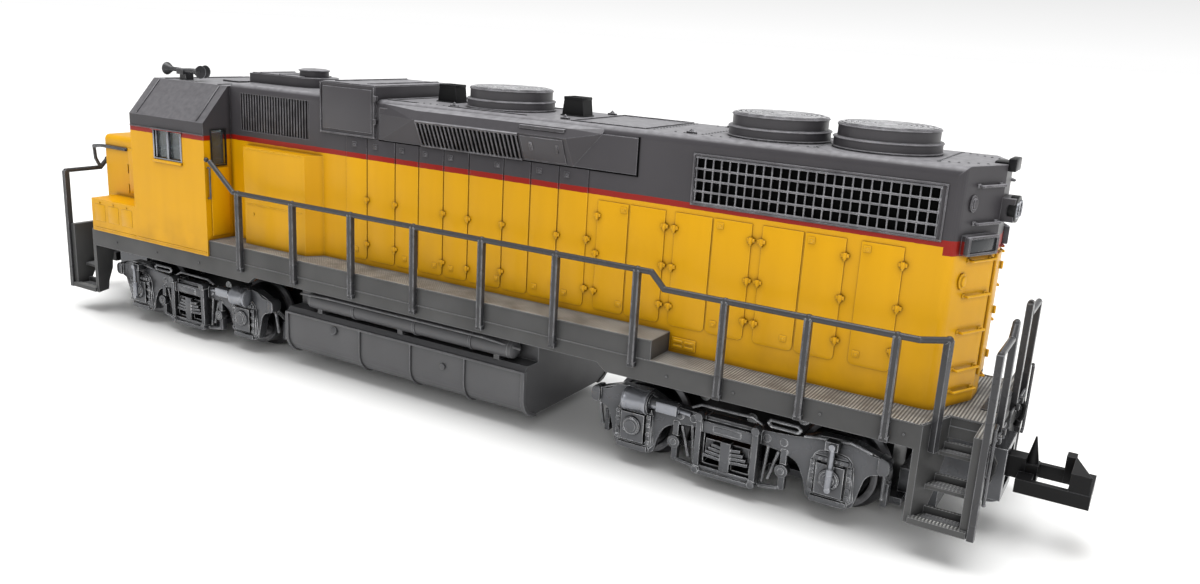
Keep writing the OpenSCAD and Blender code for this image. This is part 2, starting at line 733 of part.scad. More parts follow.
// ---- Walkway, steps and railings ----

// Side sill seen from the side: deep at the ends, shallower between the trucks
module sill_outline() polygon([
    [-half_l, sill_end_z], [-21.5, sill_end_z], [-20.6, sill_mid_z], [20.6, sill_mid_z],
    [21.5, sill_end_z], [half_l, sill_end_z], [half_l, deck_z], [-half_l, deck_z]]);

// Step wells have an inner side that slants in from the deck edge; its X at a distance y from the middle
function well_x(y) = well_out_x + (deck_hw - y) * tan(well_slant);

// Plan of a well between two distances from the middle, reaching past the slanted side by inset
module well_plan(y0, y1, inset)
    polygon([[well_x(y0) - inset, y0], [well_x(y1) - inset, y1], [half_l - 0.6 + inset, y1],
             [half_l - 0.6 + inset, y0]]);

// Step unit at one corner: two side plates cut back behind, the well wall and three treads
module steps() {
    side_shape = [[deck_hw, 2.6], [7.3, 2.6], [7.1, 3.6], [6.35, 5], [6.25, 5.9], [5.75, 7.4],
                  [5.75, deck_z], [deck_hw, deck_z]];
    yz_prism(half_l - 0.6, half_l) polygon(side_shape);
    intersection() {
        yz_prism(46, 50) polygon(side_shape);
        linear_extrude(deck_z) polygon([[well_x(5) - 0.5, 5], [well_x(5), 5], [well_x(10), 10],
                                        [well_x(10) - 0.5, 10]]);
    }
    box([well_in_x - 0.3, well_in_y - 0.45, 8.6], [half_l - 0.3, well_in_y, 9.5]);
    // Height of each tread, its back edge and its front edge
    for (t = [[3, 7.3, 8.7], [5.35, 6.5, 7.8], [7.75, 5.95, 6.7]]) {
        translate([0, 0, t[0] - 0.3]) linear_extrude(0.3) well_plan(t[1], t[2], 0.2);
        translate([0, 0, t[0] - 0.2]) linear_extrude(0.8) well_plan(t[1], t[1] + 0.25, 0.25);
    }
    box([well_out_x - 0.15, deck_hw - 0.4, 2.65], [half_l - 0.1, deck_hw + 0.25, 3.15]);
}

module walkway() color(grey) {
    difference() {
        union() {
            both_sides() {
                box([-half_l, hood_hw - wall, 9.3], [half_l, deck_hw, deck_z]);
                xz_prism(deck_hw - 0.6, deck_hw) sill_outline();
                box([raised_x, hood_hw - wall, raised_z - 0.7], [cab_rear_x, deck_hw, raised_z]);
                box([raised_x, deck_hw - 0.6, deck_z - 0.1], [cab_rear_x, deck_hw, raised_z]);
                box([raised_x, hood_hw - wall, deck_z - 0.1], [raised_x + 0.6, deck_hw, raised_z]);
                box([cab_rear_x - 0.6, hood_hw - wall, deck_z - 0.1], [cab_rear_x, deck_hw, raised_z]);
            }
            both_ends() {
                box([46.3, -deck_hw, 9.3], [half_l, deck_hw, deck_z]);
                box([half_l - 0.6, -deck_hw, sill_end_z], [half_l, deck_hw, deck_z]);
            }
        }
        both_ends() both_sides() translate([0, 0, 8]) linear_extrude(3)
            polygon([[well_x(5.85) - 0.05, 5.85], [well_x(10) - 0.05, 10], [half_l - 0.6, 10],
                     [half_l - 0.6, 5.85]]);
    }
    both_ends() both_sides() steps();
}

module post(x, z0, z1) box([x - 0.28, deck_hw, z0], [x + 0.28, post_out_y, z1]);

// Posts on the sill face, with a rail that rises to the cab and drops at the low walkway. At the
// rear it bends in to a post on the slanted side of the step well.
module handrail() {
    drop_x = raised_x - 0.9;
    corner = [-well_x(7.84), 7.84];
    end = corner + [-0.25 * cos(well_slant), 0.25 * sin(well_slant)];
    path = [[26.9, rail_y, 20.5], [26.4, rail_y, 20.4], [23, rail_y, rail_high_z],
            [raised_x + 0.3, rail_y, rail_high_z], [drop_x, rail_y, rail_low_z],
            [-46.4, rail_y, rail_low_z], [end[0], end[1], rail_low_z]];
    for (i = [0:len(path) - 2]) bar(path[i], path[i + 1], rail_r);
    translate(path[0]) sphere(rail_r);
    for (i = [0:6]) post(post_x0 - i * post_pitch, 9.5, rail_high_z);
    for (x = [post_x0 - 7 * post_pitch, -38.4, -44.9]) post(x, 8.5, rail_low_z);
    translate(corner) rotate(-well_slant) box([-0.5, -0.28, 8], [0, 0.28, rail_low_z]);
}

module handrail_left() color(dark_grey) handrail();
module handrail_right() color(dark_grey) mirror([0, 1, 0]) handrail();

// Railings across both end platforms, with a gap for the gangway in the middle
module end_railings() color(dark_grey)
    both_ends() both_sides() {
        x = half_l + 0.25;
        box([half_l, deck_hw - 0.3, 2.6], [half_l + 0.5, deck_hw + 0.3, rail_low_z]);
        box([half_l, 3, 8.6], [half_l + 0.5, 3.6, rail_low_z + 1]);
        bar([x, deck_hw, rail_low_z], [x, 4.6, rail_low_z], rail_r);
        bar([x, 4.6, rail_low_z], [x, 3.6, rail_low_z + 1], rail_r);
        translate([x, deck_hw, rail_low_z]) sphere(rail_r);
        bar([x, 3.3, rail_low_z + 1], [x, 3.7, rail_low_z + 1], rail_r);
    }

// ---- Underframe ----

// Fuel tank with rounded lower edges, and an air reservoir along each side above it
module fuel_tank() color(dark_grey) {
    side = concat(arc([5.7, 3.4], 2.1, -90, 0, 8),
                  [[7.8, 5.8], [7.3, 6.3], [5.6, 6.3], [5.6, sill_mid_z + 0.2]]);
    difference() {
        yz_prism(-12.6, 17.2) mirrored_outline(side);
        box([-11.8, -4.9, 2.2], [16.4, 4.9, 12]);
        box([-13, -4.9, frame_bottom_z - 0.1], [18, 4.9, 12]);
    }
    both_sides() translate([0, 6.85, 7.45]) rod_x(-10.5, 14, 0.9);
    both_sides() for (x = [-9.5, 2, 12.6]) box([x, 5.6, 6.3], [x + 0.6, 7.4, 6.75]);
}

// ---- Roof ----

module roof_fans() color(grey)
    for (x = fan_x) translate([x, 0, hood_z]) difference() {
        union() {
            cylinder(h = 0.9, r = fan_r + 0.25);
            translate([0, 0, 0.9]) cylinder(h = 1, r = fan_r);
        }
        translate([0, 0, 1.3]) cylinder(h = 1, r = fan_r - 0.35);
    }

module exhaust_stacks() color(dark_grey)
    for (x = stack_x) translate([x, 0, hood_z]) difference() {
        xz_prism(-0.8, 0.8) polygon([[-1.15, 0], [1.15, 0], [0.95, 1.6], [-0.95, 1.6]]);
        box([-0.6, -0.5, 0.8], [0.6, 0.5, 3]);
    }

// Trumpets on a manifold, one pointing forward and two to the rear
module horn() color(dark_grey)
    translate([35.6, 4.4, cab_z]) {
        box([-0.5, -0.5, 0], [0.5, 0.5, 0.9]);
        box([-0.5, -0.9, 0.6], [0.5, 0.9, 1.2]);
        for (t = [[0, 0, 3.2], [180, 0.55, 3], [180, -0.55, 2.4]])
            translate([0, t[1], 1]) rotate([0, 90, t[0]]) rotate_extrude()
                polygon([[0, 0.3], [0.2, 0.3], [0.25, t[2] - 0.9], [0.7, t[2]], [0, t[2] - 0.2]]);
    }

// ---- Assembly ----

frame_left();
frame_right();
frame_fasteners();
motor_can();
motor_magnets();
motor_bearings();
motor_brush_plate();
armature();
commutator();
motor_shaft();
flywheels();
light_board();
long_hood();
cab();
cab_glazing();
light_lenses();
walkway();
handrail_left();
handrail_right();
end_railings();
fuel_tank();
roof_fans();
exhaust_stacks();
horn();
for (e = ENDS) {
    at_end(e) drive_shaft();
    at_truck(e) worm();
    at_truck(e) worm_shaft();
    at_truck(e) worm_bearings();
    at_truck(e) worm_wheel();
    at_truck(e) centre_gear();
    at_truck(e) gear_pins();
    at_truck(e) truck_housing();
    at_truck(e) truck_sideframes();
    at_truck(e) pickup_strips();
    at_truck(e) coupler();
    at_truck(e) coupler_spring();
    for (a = AXLES) {
        at_truck(e) idler(a);
        at_truck(e) wheels(a);
        at_truck(e) axle_gear(a);
    }
}
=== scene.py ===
"""Looks for the model diesel locomotive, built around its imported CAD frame."""
import math

import bmesh
import bpy
from mathutils import Matrix, Vector


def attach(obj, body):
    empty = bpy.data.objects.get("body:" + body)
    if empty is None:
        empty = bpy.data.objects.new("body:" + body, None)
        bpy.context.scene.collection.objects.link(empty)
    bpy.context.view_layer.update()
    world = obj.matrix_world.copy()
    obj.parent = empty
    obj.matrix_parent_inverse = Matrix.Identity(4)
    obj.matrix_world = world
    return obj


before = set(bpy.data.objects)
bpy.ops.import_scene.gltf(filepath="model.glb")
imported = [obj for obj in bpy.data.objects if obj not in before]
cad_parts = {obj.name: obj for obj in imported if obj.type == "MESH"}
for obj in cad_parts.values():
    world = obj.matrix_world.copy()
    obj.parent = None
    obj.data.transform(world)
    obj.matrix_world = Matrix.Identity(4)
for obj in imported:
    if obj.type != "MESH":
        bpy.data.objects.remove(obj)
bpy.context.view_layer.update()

MM = 0.001
SIDES = (1, -1)
CORNER_ANGLE = 0.6                # a modelled edge that turns more than this is rounded
SMOOTH_ANGLE = math.radians(35)   # an edge that turns more than this is shaded sharp

# Where the CAD surfaces stand that the pieces sit on, in millimetres
TRUCK_X = 32.4                    # truck pivot
AXLE_X, AXLE_Z = 8.575, 3.8       # axle, from the truck pivot
HOOD_Y, ROOF_Z = 5.7, 28.2        # long hood's side and roof
CAB_Y, CAB_BACK = 9.2, 27.3       # cab's side and back wall
SILL_X, SILL_Y = 51.45, 8.9       # outer faces of the end sills and the side sills
AIR_TANK_Y, AIR_TANK_Z = 6.85, 7.45


# ---- Shapes, in millimetres ----

class Shape:
    """Closed solids gathered into one mesh."""

    def __init__(self):
        self.bm = bmesh.new()

    def _bevel(self, verts, amount):
        """Rounds the sharp edges between these vertices."""
        inside = set(verts)
        edges = {e for v in verts for e in v.link_edges if e.verts[0] in inside and e.verts[1] in inside}
        sharp = [e for e in edges if len(e.link_faces) == 2 and e.calc_face_angle(0) > CORNER_ANGLE]
        self._round_over(sharp, amount)

    def _round_over(self, edges, amount):
        bmesh.ops.bevel(self.bm, geom=edges, offset=amount, segments=2, profile=0.5, affect="EDGES",
                        clamp_overlap=True)

    def box(self, lo, hi, bevel=0.04, matrix=None):
        """A box between two corners."""
        lo, hi = Vector(lo), Vector(hi)
        size = hi - lo
        place = Matrix.Translation((lo + hi) / 2) @ Matrix.Diagonal((*size, 1))
        verts = bmesh.ops.create_cube(self.bm, size=1, matrix=place)["verts"]
        if matrix is not None:
            bmesh.ops.transform(self.bm, matrix=matrix, verts=verts)
        self._bevel(verts, bevel)

    def prism(self, outline, axis, lo, hi, bevel=0.04, matrix=None):
        """An outline of (a, b) points pushed along an axis: x uses (y, z), y uses (x, z), z uses (x, y)."""
        def at(p, h):
            return {"x": (h, p[0], p[1]), "y": (p[0], h, p[1]), "z": (p[0], p[1], h)}[axis]
        low = [self.bm.verts.new(at(p, lo)) for p in outline]
        high = [self.bm.verts.new(at(p, hi)) for p in outline]
        n = len(outline)
        faces = [self.bm.faces.new(low), self.bm.faces.new(high[::-1])]
        for i in range(n):
            faces.append(self.bm.faces.new((low[i], high[i], high[(i + 1) % n], low[(i + 1) % n])))
        bmesh.ops.recalc_face_normals(self.bm, faces=faces)
        verts = low + high
        if matrix is not None:
            bmesh.ops.transform(self.bm, matrix=matrix, verts=verts)
        self._bevel(verts, bevel)

    def rod(self, a, b, r, r2=None, sides=12, bevel=0.0):
        """A round bar or cone between two points."""
        a, b = Vector(a), Vector(b)
        axis = b - a
        turn = axis.to_track_quat("Z", "Y").to_matrix().to_4x4()
        place = Matrix.Translation((a + b) / 2) @ turn
        verts = bmesh.ops.create_cone(self.bm, cap_ends=True, segments=sides, radius1=r,
                                      radius2=r if r2 is None else r2, depth=axis.length, matrix=place)["verts"]
        if bevel:
            rims = {e for v in verts for e in v.link_edges if any(len(f.verts) > 4 for f in e.link_faces)}
            self._round_over(list(rims), bevel)

    def pin(self, x, z, y0, y1, r, sides, bevel=0.0):
        """A round bar along y."""
        self.rod((x, y0, z), (x, y1, z), r, sides=sides, bevel=bevel)

    def plate(self, x0, x1, z0, z1, wall, height, bevel=0.04):
        """A raised plate on a side wall, with its back a little way into it."""
        self.box((x0, wall - 0.05, z0), (x1, wall + height, z1), bevel)

    def ball(self, at, r, squash=(1, 1, 1), detail=1):
        place = Matrix.Translation(at) @ Matrix.Diagonal((*squash, 1))
        bmesh.ops.create_icosphere(self.bm, subdivisions=detail, radius=r, matrix=place)

    def wire(self, path, r, sides=8):
        """A bent rod, round at each corner."""
        for a, b in zip(path, path[1:]):
            self.rod(a, b, r, sides=sides)
        for p in path:
            self.ball(p, r * 1.01, detail=2)

    def lathe(self, profile, at, axis="z", sides=48, ring=False):
        """A profile of (radius, height) points turned about an axis; a ring closes it and has no caps."""
        turn = {"z": Matrix.Identity(4), "y": Matrix.Rotation(-math.pi / 2, 4, "X"),
                "x": Matrix.Rotation(math.pi / 2, 4, "Y")}[axis]
        place = Matrix.Translation(at) @ turn
        rings = []
        for r, h in profile:
            turns = [2 * math.pi * i / sides for i in range(sides)]
            points = [place @ Vector((r * math.cos(t), r * math.sin(t), h)) for t in turns]
            rings.append([self.bm.verts.new(p) for p in points])
        for low, high in zip(rings, rings[1:] + rings[:1] if ring else rings[1:]):
            for i in range(sides):
                j = (i + 1) % sides
                self.bm.faces.new((low[i], low[j], high[j], high[i]))
        if not ring:
            self.bm.faces.new(rings[0][::-1])
            self.bm.faces.new(rings[-1])

    def mirror(self):
        """Adds the same solids on the other side of the model."""
        bmesh.ops.mirror(self.bm, geom=list(self.bm.verts) + list(self.bm.edges) + list(self.bm.faces),
                         axis="Y", merge_dist=-1)
        return self

    def done(self, name, material, slot, body="chassis", place=None):
        """Makes the gathered solids one named piece that rides on a body."""
        bmesh.ops.recalc_face_normals(self.bm, faces=list(self.bm.faces))
        if place is not None:
            bmesh.ops.transform(self.bm, matrix=place, verts=list(self.bm.verts))
        bmesh.ops.scale(self.bm, vec=(MM, MM, MM), verts=list(self.bm.verts))
        mesh = bpy.data.meshes.new(name)
        self.bm.to_mesh(mesh)
        self.bm.free()
        mesh.shade_smooth()
        mesh.set_sharp_from_angle(angle=SMOOTH_ANGLE)
        mesh.materials.append(material)
        obj = bpy.data.objects.new(name, mesh)
        bpy.context.scene.collection.objects.link(obj)
        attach(obj, body)


def arc(cx, cy, r, start, end, steps):
    """Points on a circle, from one angle in degrees to another."""
    angles = [math.radians(start + (end - start) * i / steps) for i in range(steps + 1)]
    return [(cx + r * math.cos(a), cy + r * math.sin(a)) for a in angles]


def ellipse(a, b, half_a, half_b, sides):
    """Points on an ellipse, anticlockwise."""
    turns = [2 * math.pi * i / sides for i in range(sides)]
    return [(a + half_a * math.cos(t), b + half_b * math.sin(t)) for t in turns]


def border(a0, a1, b0, b1, width):
    """Four rectangles around an opening, as (a0, a1, b0, b1)."""
    return ((a0 - width, a1 + width, b0 - width, b0), (a0 - width, a1 + width, b1, b1 + width),
            (a0 - width, a0, b0, b1), (a1, a1 + width, b0, b1))


def rounded(points, passes=2):
    """Cuts the corners of a closed outline until it looks cast."""
    for _ in range(passes):
        cut = []
        for a, b in zip(points, points[1:] + points[:1]):
            cut.append((a[0] * 0.8 + b[0] * 0.2, a[1] * 0.8 + b[1] * 0.2))
            cut.append((a[0] * 0.2 + b[0] * 0.8, a[1] * 0.2 + b[1] * 0.8))
        points = cut
    return points


# ---- Materials ----

def rgb(code):
    """A colour written as on screen, as linear values."""
    parts = [int(code[i:i + 2], 16) / 255 for i in (0, 2, 4)]
    return tuple(c / 12.92 if c <= 0.04045 else ((c + 0.055) / 1.055) ** 2.4 for c in parts) + (1.0,)


class Nodes:
    """A material's node tree, with one short call for each kind of node."""

    def __init__(self, name):
        self.material = bpy.data.materials.new(name)
        self.material.use_nodes = True
        self.tree = self.material.node_tree
        self.shader = self.tree.nodes["Principled BSDF"]
        self.coords = self.new("ShaderNodeTexCoord").outputs["Object"]

    def new(self, kind, inputs=None, **settings):
        node = self.tree.nodes.new(kind)
        for key, value in settings.items():
            setattr(node, key, value)
        return self.fill(node, inputs or {})

    def fill(self, node, inputs):
        """Links an input to another node's output, or else sets its value."""
        for key, value in inputs.items():
            if hasattr(value, "is_output"):
                self.tree.links.new(value, node.inputs[key])
            else:
                node.inputs[key].default_value = value
        return node

    def math(self, operation, a, b=0.0):
        return self.new("ShaderNodeMath", {0: a, 1: b}, operation=operation).outputs[0]

    def plus(self, a, b):
        return self.math("ADD", a, b)

    def minus(self, a, b):
        return self.math("SUBTRACT", a, b)

    def times(self, a, b):
        return self.math("MULTIPLY", a, b)

    def mix(self, share, a, b):
        return self.new("ShaderNodeMix", {0: share, 6: a, 7: b}, data_type="RGBA").outputs[2]

    def xyz(self):
        """The object's own x, y, z in metres."""
        return self.new("ShaderNodeSeparateXYZ", {0: self.coords}).outputs

    def noise(self, size_mm, detail=3.0, stretch=None):
        """Noise from 0 to 1 with features of that size."""
        coords = self.coords
        if stretch:
            coords = self.new("ShaderNodeMapping", {"Scale": stretch, "Vector": coords}).outputs[0]
        inputs = {"Scale": 1000.0 / size_mm, "Detail": detail, "Vector": coords}
        return self.new("ShaderNodeTexNoise", inputs).outputs["Fac"]

    def ramp(self, value, low, high):
        inputs = {"From Min": low, "From Max": high, "Value": value}
        return self.new("ShaderNodeMapRange", inputs).outputs["Result"]

    def patches(self, size_mm, low, high, stretch=None):
        """Noise with more of it at 0 and 1."""
        return self.ramp(self.noise(size_mm, stretch=stretch), low, high)

    def upward(self):
        """1 where the surface faces up, in the object's own frame."""
        normal = self.new("ShaderNodeTexCoord").outputs["Normal"]
        return self.ramp(self.new("ShaderNodeSeparateXYZ", {0: normal}).outputs["Z"], 0.5, 0.95)

    def top_light(self):
        """How much painted light lightens surfaces that face up, varying from place to place."""
        return self.times(self.upward(), self.plus(self.times(self.patches(0.6, 0.3, 0.7), 0.22), 0.3))

    def hollow(self, reach_mm, low):
        """0 in the open and towards 1 in corners and grooves."""
        node = self.new("ShaderNodeAmbientOcclusion", {"Distance": reach_mm * MM}, samples=6)
        return self.minus(1.0, self.ramp(node.outputs["AO"], low, 0.95))

    def bump(self, height, strength, depth_mm, normal=None):
        inputs = {"Strength": strength, "Distance": depth_mm * MM, "Height": height}
        if normal is not None:
            inputs["Normal"] = normal
        return self.new("ShaderNodeBump", inputs).outputs[0]

    def soft_edge(self, radius_mm):
        return self.new("ShaderNodeBevel", {"Radius": radius_mm * MM}, samples=4).outputs[0]

    def edges(self, radius_mm):
        """1 on edges, 0 on flats; used for worn edges and for painted highlights."""
        flat = self.new("ShaderNodeNewGeometry").outputs["Normal"]
        dot = self.new("ShaderNodeVectorMath", {0: self.soft_edge(radius_mm), 1: flat}, operation="DOT_PRODUCT")
        return self.ramp(dot.outputs["Value"], 0.995, 0.86)

    def finish(self, color, roughness, normal=None, metallic=0.0, specular=0.5):
        inputs = {"Base Color": color, "Roughness": roughness, "Metallic": metallic,
                  "Specular IOR Level": specular}
        if normal is not None:
            inputs["Normal"] = normal
        self.fill(self.shader, inputs)
        return self.material


def plastic(name, color, dirt_and_shade, rough=0.42, edge=None, wear_and_highlight=0.5, recess_shade=0.8, grain=0.25, metallic=0.0, top=None,
            reach=0.7, specular=0.3):
    """Painted or moulded plastic: mottled tone, painted shade in the recesses, edges lightened for wear and as
    painted highlights, a painted highlight on upward faces where a top colour is given, fine skin.
    """
    n = Nodes(name)
    tone = n.patches(6.0, 0.3, 0.7)
    base = n.mix(n.times(tone, 0.16), rgb(color), rgb(dirt_and_shade))
    # Painted highlight: where a top colour is given, surfaces that face up are lightened towards it.
    if top:
        base = n.mix(n.top_light(), base, rgb(top))
    # Painted shade: corners and grooves are darkened towards the darker colour.
    base = n.mix(n.times(n.hollow(reach, 0.35), recess_shade), base, rgb(dirt_and_shade))
    # Edges are lightened towards the edge colour, partly for wear and partly as painted highlights.
    scuff_and_highlight = n.times(n.edges(0.1), n.patches(1.2, 0.25, 0.6))
    base = n.mix(n.times(scuff_and_highlight, wear_and_highlight), base, rgb(edge or color))
    roughness = n.plus(n.times(n.patches(3.0, 0.2, 0.8), 0.12), rough - 0.06)
    skin = n.bump(n.noise(0.16, detail=2.0), grain, 0.012, n.soft_edge(0.05))
    return n.finish(base, roughness, skin, metallic, specular)


def body_paint():
    """Yellow below, dark grey above, with a dark red stripe between that steps down at the rear end."""
    n = Nodes("body_paint")
    xyz = n.xyz()
    stripe_foot, stripe_top, step_down, step_x = 22.4 * MM, 22.9 * MM, 0.6 * MM, -46.4 * MM
    foot = n.minus(stripe_foot, n.times(n.math("LESS_THAN", xyz["X"], step_x), step_down))
    wobble = n.times(n.minus(n.noise(0.8), 0.5), 0.08 * MM)
    height = n.plus(xyz["Z"], wobble)
    above_foot = n.math("GREATER_THAN", height, foot)
    above_top = n.math("GREATER_THAN", height, stripe_top)
    tone = n.patches(9.0, 0.25, 0.75)
    streaks = n.patches(1.6, 0.35, 0.8, stretch=(1, 1, 0.12))
    yellow = n.mix(n.times(tone, 0.22), rgb("DCA203"), rgb("CF9602"))
    yellow = n.mix(n.times(streaks, 0.16), yellow, rgb("B47E04"))
    # The yellow darkens in patches towards the bottom of the body.
    low_darkening = n.times(n.minus(1.0, n.ramp(xyz["Z"], 10.2 * MM, 14.5 * MM)), n.patches(2.5, 0.3, 0.75))
    yellow = n.mix(n.times(low_darkening, 0.42), yellow, rgb("8A6414"))
    grey = n.mix(tone, rgb("464447"), rgb("3C3A3D"))
    # Painted highlight: the grey lightens where it faces up.
    grey = n.mix(n.top_light(), grey, rgb("BDBCC0"))
    color = n.mix(above_foot, yellow, rgb("8E1A10"))
    color = n.mix(above_top, color, grey)
    # Painted shade: corners and grooves darken towards these colours.
    shade = n.mix(above_foot, rgb("5A3402"), rgb("141214"))
    color = n.mix(n.times(n.hollow(0.6, 0.35), 0.92), color, shade)
    # Edges lighten towards these colours, partly for wear and partly as painted highlights.
    shine = n.mix(above_foot, rgb("F3C348"), rgb("9A999E"))
    scuff_and_highlight = n.times(n.edges(0.1), n.patches(1.1, 0.2, 0.55))
    color = n.mix(n.times(scuff_and_highlight, 0.65), color, shine)
    roughness = n.plus(n.times(n.patches(2.2, 0.2, 0.8), 0.14), 0.3)
    skin = n.bump(n.noise(0.18, detail=2.0), 0.22, 0.012, n.soft_edge(0.06))
    return n.finish(color, roughness, skin, specular=0.22)


def tread_paint():
    """Dark grey sides, and a lighter diamond tread wherever the surface faces up, partly worn and partly
    painted glints.
    """
    n = Nodes("tread_paint")
    xyz = n.xyz()
    pitch = 0.5 * MM
    wave = 2 * math.pi / pitch
    across = n.math("SINE", n.times(n.plus(xyz["X"], xyz["Y"]), wave))
    along = n.math("SINE", n.times(n.minus(xyz["X"], xyz["Y"]), wave))
    diamonds = n.ramp(n.times(across, along), 0.0, 0.5)
    top = n.upward()
    # The diamonds lighten in patches where they face up, partly for wear and partly as painted glints.
    worn_and_glint = n.times(diamonds, n.patches(1.8, 0.15, 0.6))
    tone = n.patches(5.0, 0.3, 0.7)
    side = n.mix(tone, rgb("4F4F4F"), rgb("434343"))
    deck = n.mix(worn_and_glint, rgb("4C4C4C"), rgb("CCCCC8"))
    color = n.mix(top, side, deck)
    # Painted shade: corners and grooves darken.
    color = n.mix(n.times(n.hollow(0.8, 0.3), 0.75), color, rgb("1D1D1E"))
    # Edges lighten, partly for wear and partly as painted highlights.
    color = n.mix(n.times(n.edges(0.1), 0.6), color, rgb("9C9DA0"))
    height = n.plus(n.times(diamonds, top), n.times(n.noise(0.2), 0.15))
    normal = n.bump(height, 0.6, 0.05, n.soft_edge(0.06))
    roughness = n.plus(0.42, n.times(tone, 0.12))
    return n.finish(color, roughness, normal, specular=0.25)


def metal(name, color, dark, rough=0.3, stretch=(1, 6, 6)):
    """Bare or plated metal with turning lines or brushing, and painted shade in the recesses."""
    n = Nodes(name)
    lines = n.noise(0.5, stretch=stretch)
    color = n.mix(n.times(n.ramp(lines, 0.3, 0.7), 0.35), rgb(color), rgb(dark))
    # Painted shade: recesses darken towards the dark colour.
    color = n.mix(n.times(n.hollow(0.7, 0.3), 0.6), color, rgb(dark))
    roughness = n.plus(rough - 0.05, n.times(n.patches(1.0, 0.2, 0.8), 0.14))
    return n.finish(color, roughness, n.bump(lines, 0.15, 0.01, n.soft_edge(0.04)), metallic=1.0)


def wound_copper():
    """Lacquered copper windings: fine strands around the poles."""
    n = Nodes("wound_copper")
    pitch = 0.22 * MM
    strands = n.math("SINE", n.times(n.xyz()["X"], 2 * math.pi / pitch))
    tone = n.patches(1.5, 0.3, 0.7)
    color = n.mix(n.times(tone, 0.5), rgb("A85A2A"), rgb("6E3415"))
    return n.finish(color, n.plus(0.28, n.times(tone, 0.1)), n.bump(strands, 0.6, 0.04), 0.8)


def clear(name, tint, rough=0.06):
    """Thin clear moulding with faint ripples."""
    n = Nodes(name)
    color = n.mix(n.times(n.noise(2.0), 0.15), rgb(tint), rgb("A9B4B4"))
    n.fill(n.shader, {"Transmission Weight": 0.85, "IOR": 1.49})
    smear = n.plus(rough, n.times(n.patches(1.2, 0.4, 0.8), 0.08))
    return n.finish(color, smear, n.bump(n.noise(1.8), 0.08, 0.02))


def circuit_board():
    """Green solder mask with lighter tracks."""
    n = Nodes("circuit_board")
    pitch = 1.3 * MM
    tracks = n.math("GREATER_THAN", n.math("SINE", n.times(n.xyz()["Y"], 2 * math.pi / pitch)), 0.6)
    weave = n.noise(0.3, stretch=(1, 4, 4))
    color = n.mix(n.times(tracks, 0.7), rgb("1F5A2E"), rgb("3B8248"))
    color = n.mix(n.times(weave, 0.25), color, rgb("0F3018"))
    return n.finish(color, n.plus(0.3, n.times(weave, 0.15)), n.bump(weave, 0.3, 0.02))


def pale_floor():
    """Near-white, with broad faint patches."""
    n = Nodes("pale_floor")
    color = n.mix(n.patches(60.0, 0.3, 0.7), rgb("FBFBFA"), rgb("F6F6F5"))
    return n.finish(color, n.plus(0.75, n.times(n.noise(20.0), 0.1)))


paint = body_paint()
tread = tread_paint()
# In these plastics the top colour is a painted highlight on upward faces, the edge colour is partly wear and
# partly painted highlight, and the second colour also paints the shade in recesses.
rail_grey = plastic("rail_grey", "3E3E40", "151516", rough=0.26, edge="A9AAAE", wear_and_highlight=0.85)
roof_grey = plastic("roof_grey", "474548", "121113", rough=0.36, edge="B4B3B8", wear_and_highlight=0.85, top="BDBCC0")
tank_grey = plastic("tank_grey", "58585A", "121213", rough=0.36, edge="A2A3A6", wear_and_highlight=0.8)
truck_grey = plastic("truck_grey", "5C5D60", "020203", rough=0.27, edge="E4E5E8", wear_and_highlight=1.0, recess_shade=1.0,
                     metallic=0.6, reach=1.7)
cast_shine = plastic("cast_shine", "8F9197", "25262A", rough=0.25, edge="DADBDF", wear_and_highlight=0.8, metallic=0.7)
black_plastic = plastic("black_plastic", "161617", "040404", rough=0.33, edge="5C5D60", wear_and_highlight=0.5, specular=0.15)
# Near-black for sheets and strips that stand in for shade: painted shadow.
shadow_black = plastic("shadow_black", "060607", "010101", rough=0.7, edge="0C0C0D", wear_and_highlight=0.2, specular=0.05)
grille_grey = plastic("grille_grey", "626165", "141315", rough=0.34, edge="D2D1D5", wear_and_highlight=0.9, top="C2C1C5")
guard_grey = plastic("guard_grey", "7C7B7F", "161517", rough=0.25, edge="F0F0F2", wear_and_highlight=1.0, top="DCDCDE")
acetal = plastic("acetal", "D9D3BC", "8A836A", rough=0.35, edge="F0ECDC", wear_and_highlight=0.4)
ferrite = plastic("ferrite", "232325", "0B0B0C", rough=0.6, edge="4A4A4C", wear_and_highlight=0.4)
zinc = metal("zinc", "8E9092", "4A4B4D", rough=0.45, stretch=(1, 1, 1))
steel = metal("steel", "B4B6B8", "5A5B5D", rough=0.25)
dark_wheel = metal("dark_wheel", "5E5E60", "19191A", stretch=(1, 1, 1))
brass = metal("brass", "B58A3C", "5E431A", rough=0.28)
copper = metal("copper", "B9713E", "5C3218")
winding = wound_copper()
glass = clear("window_glass", "9FA9AC")
lens = clear("lamp_lens", "F4F4EA", rough=0.03)
smoke = plastic("smoked_lens", "2C2E31", "121314", rough=0.12, edge="C9CCD0", wear_and_highlight=0.6, grain=0.05)
board = circuit_board()

CAD_LOOKS = {
    paint: "long_hood cab",
    tread: "walkway",
    rail_grey: "handrail end_railings horn",
    tank_grey: "fuel_tank",
    roof_grey: "roof_fans",
    black_plastic: "exhaust_stacks truck_housing coupler",
    truck_grey: "truck_sideframes",
    dark_wheel: "wheels",
    glass: "cab_glazing",
    lens: "light_lenses",
    zinc: "frame",
    steel: "frame_fasteners motor_can motor_shaft worm_shaft gear_pins coupler_spring",
    brass: "motor_bearings flywheels worm_bearings worm",
    copper: "commutator pickup_strips",
    ferrite: "motor_magnets",
    winding: "armature",
    acetal: "motor_brush_plate drive_shaft worm_wheel centre_gear idler axle_gear",
    board: "light_board",
}


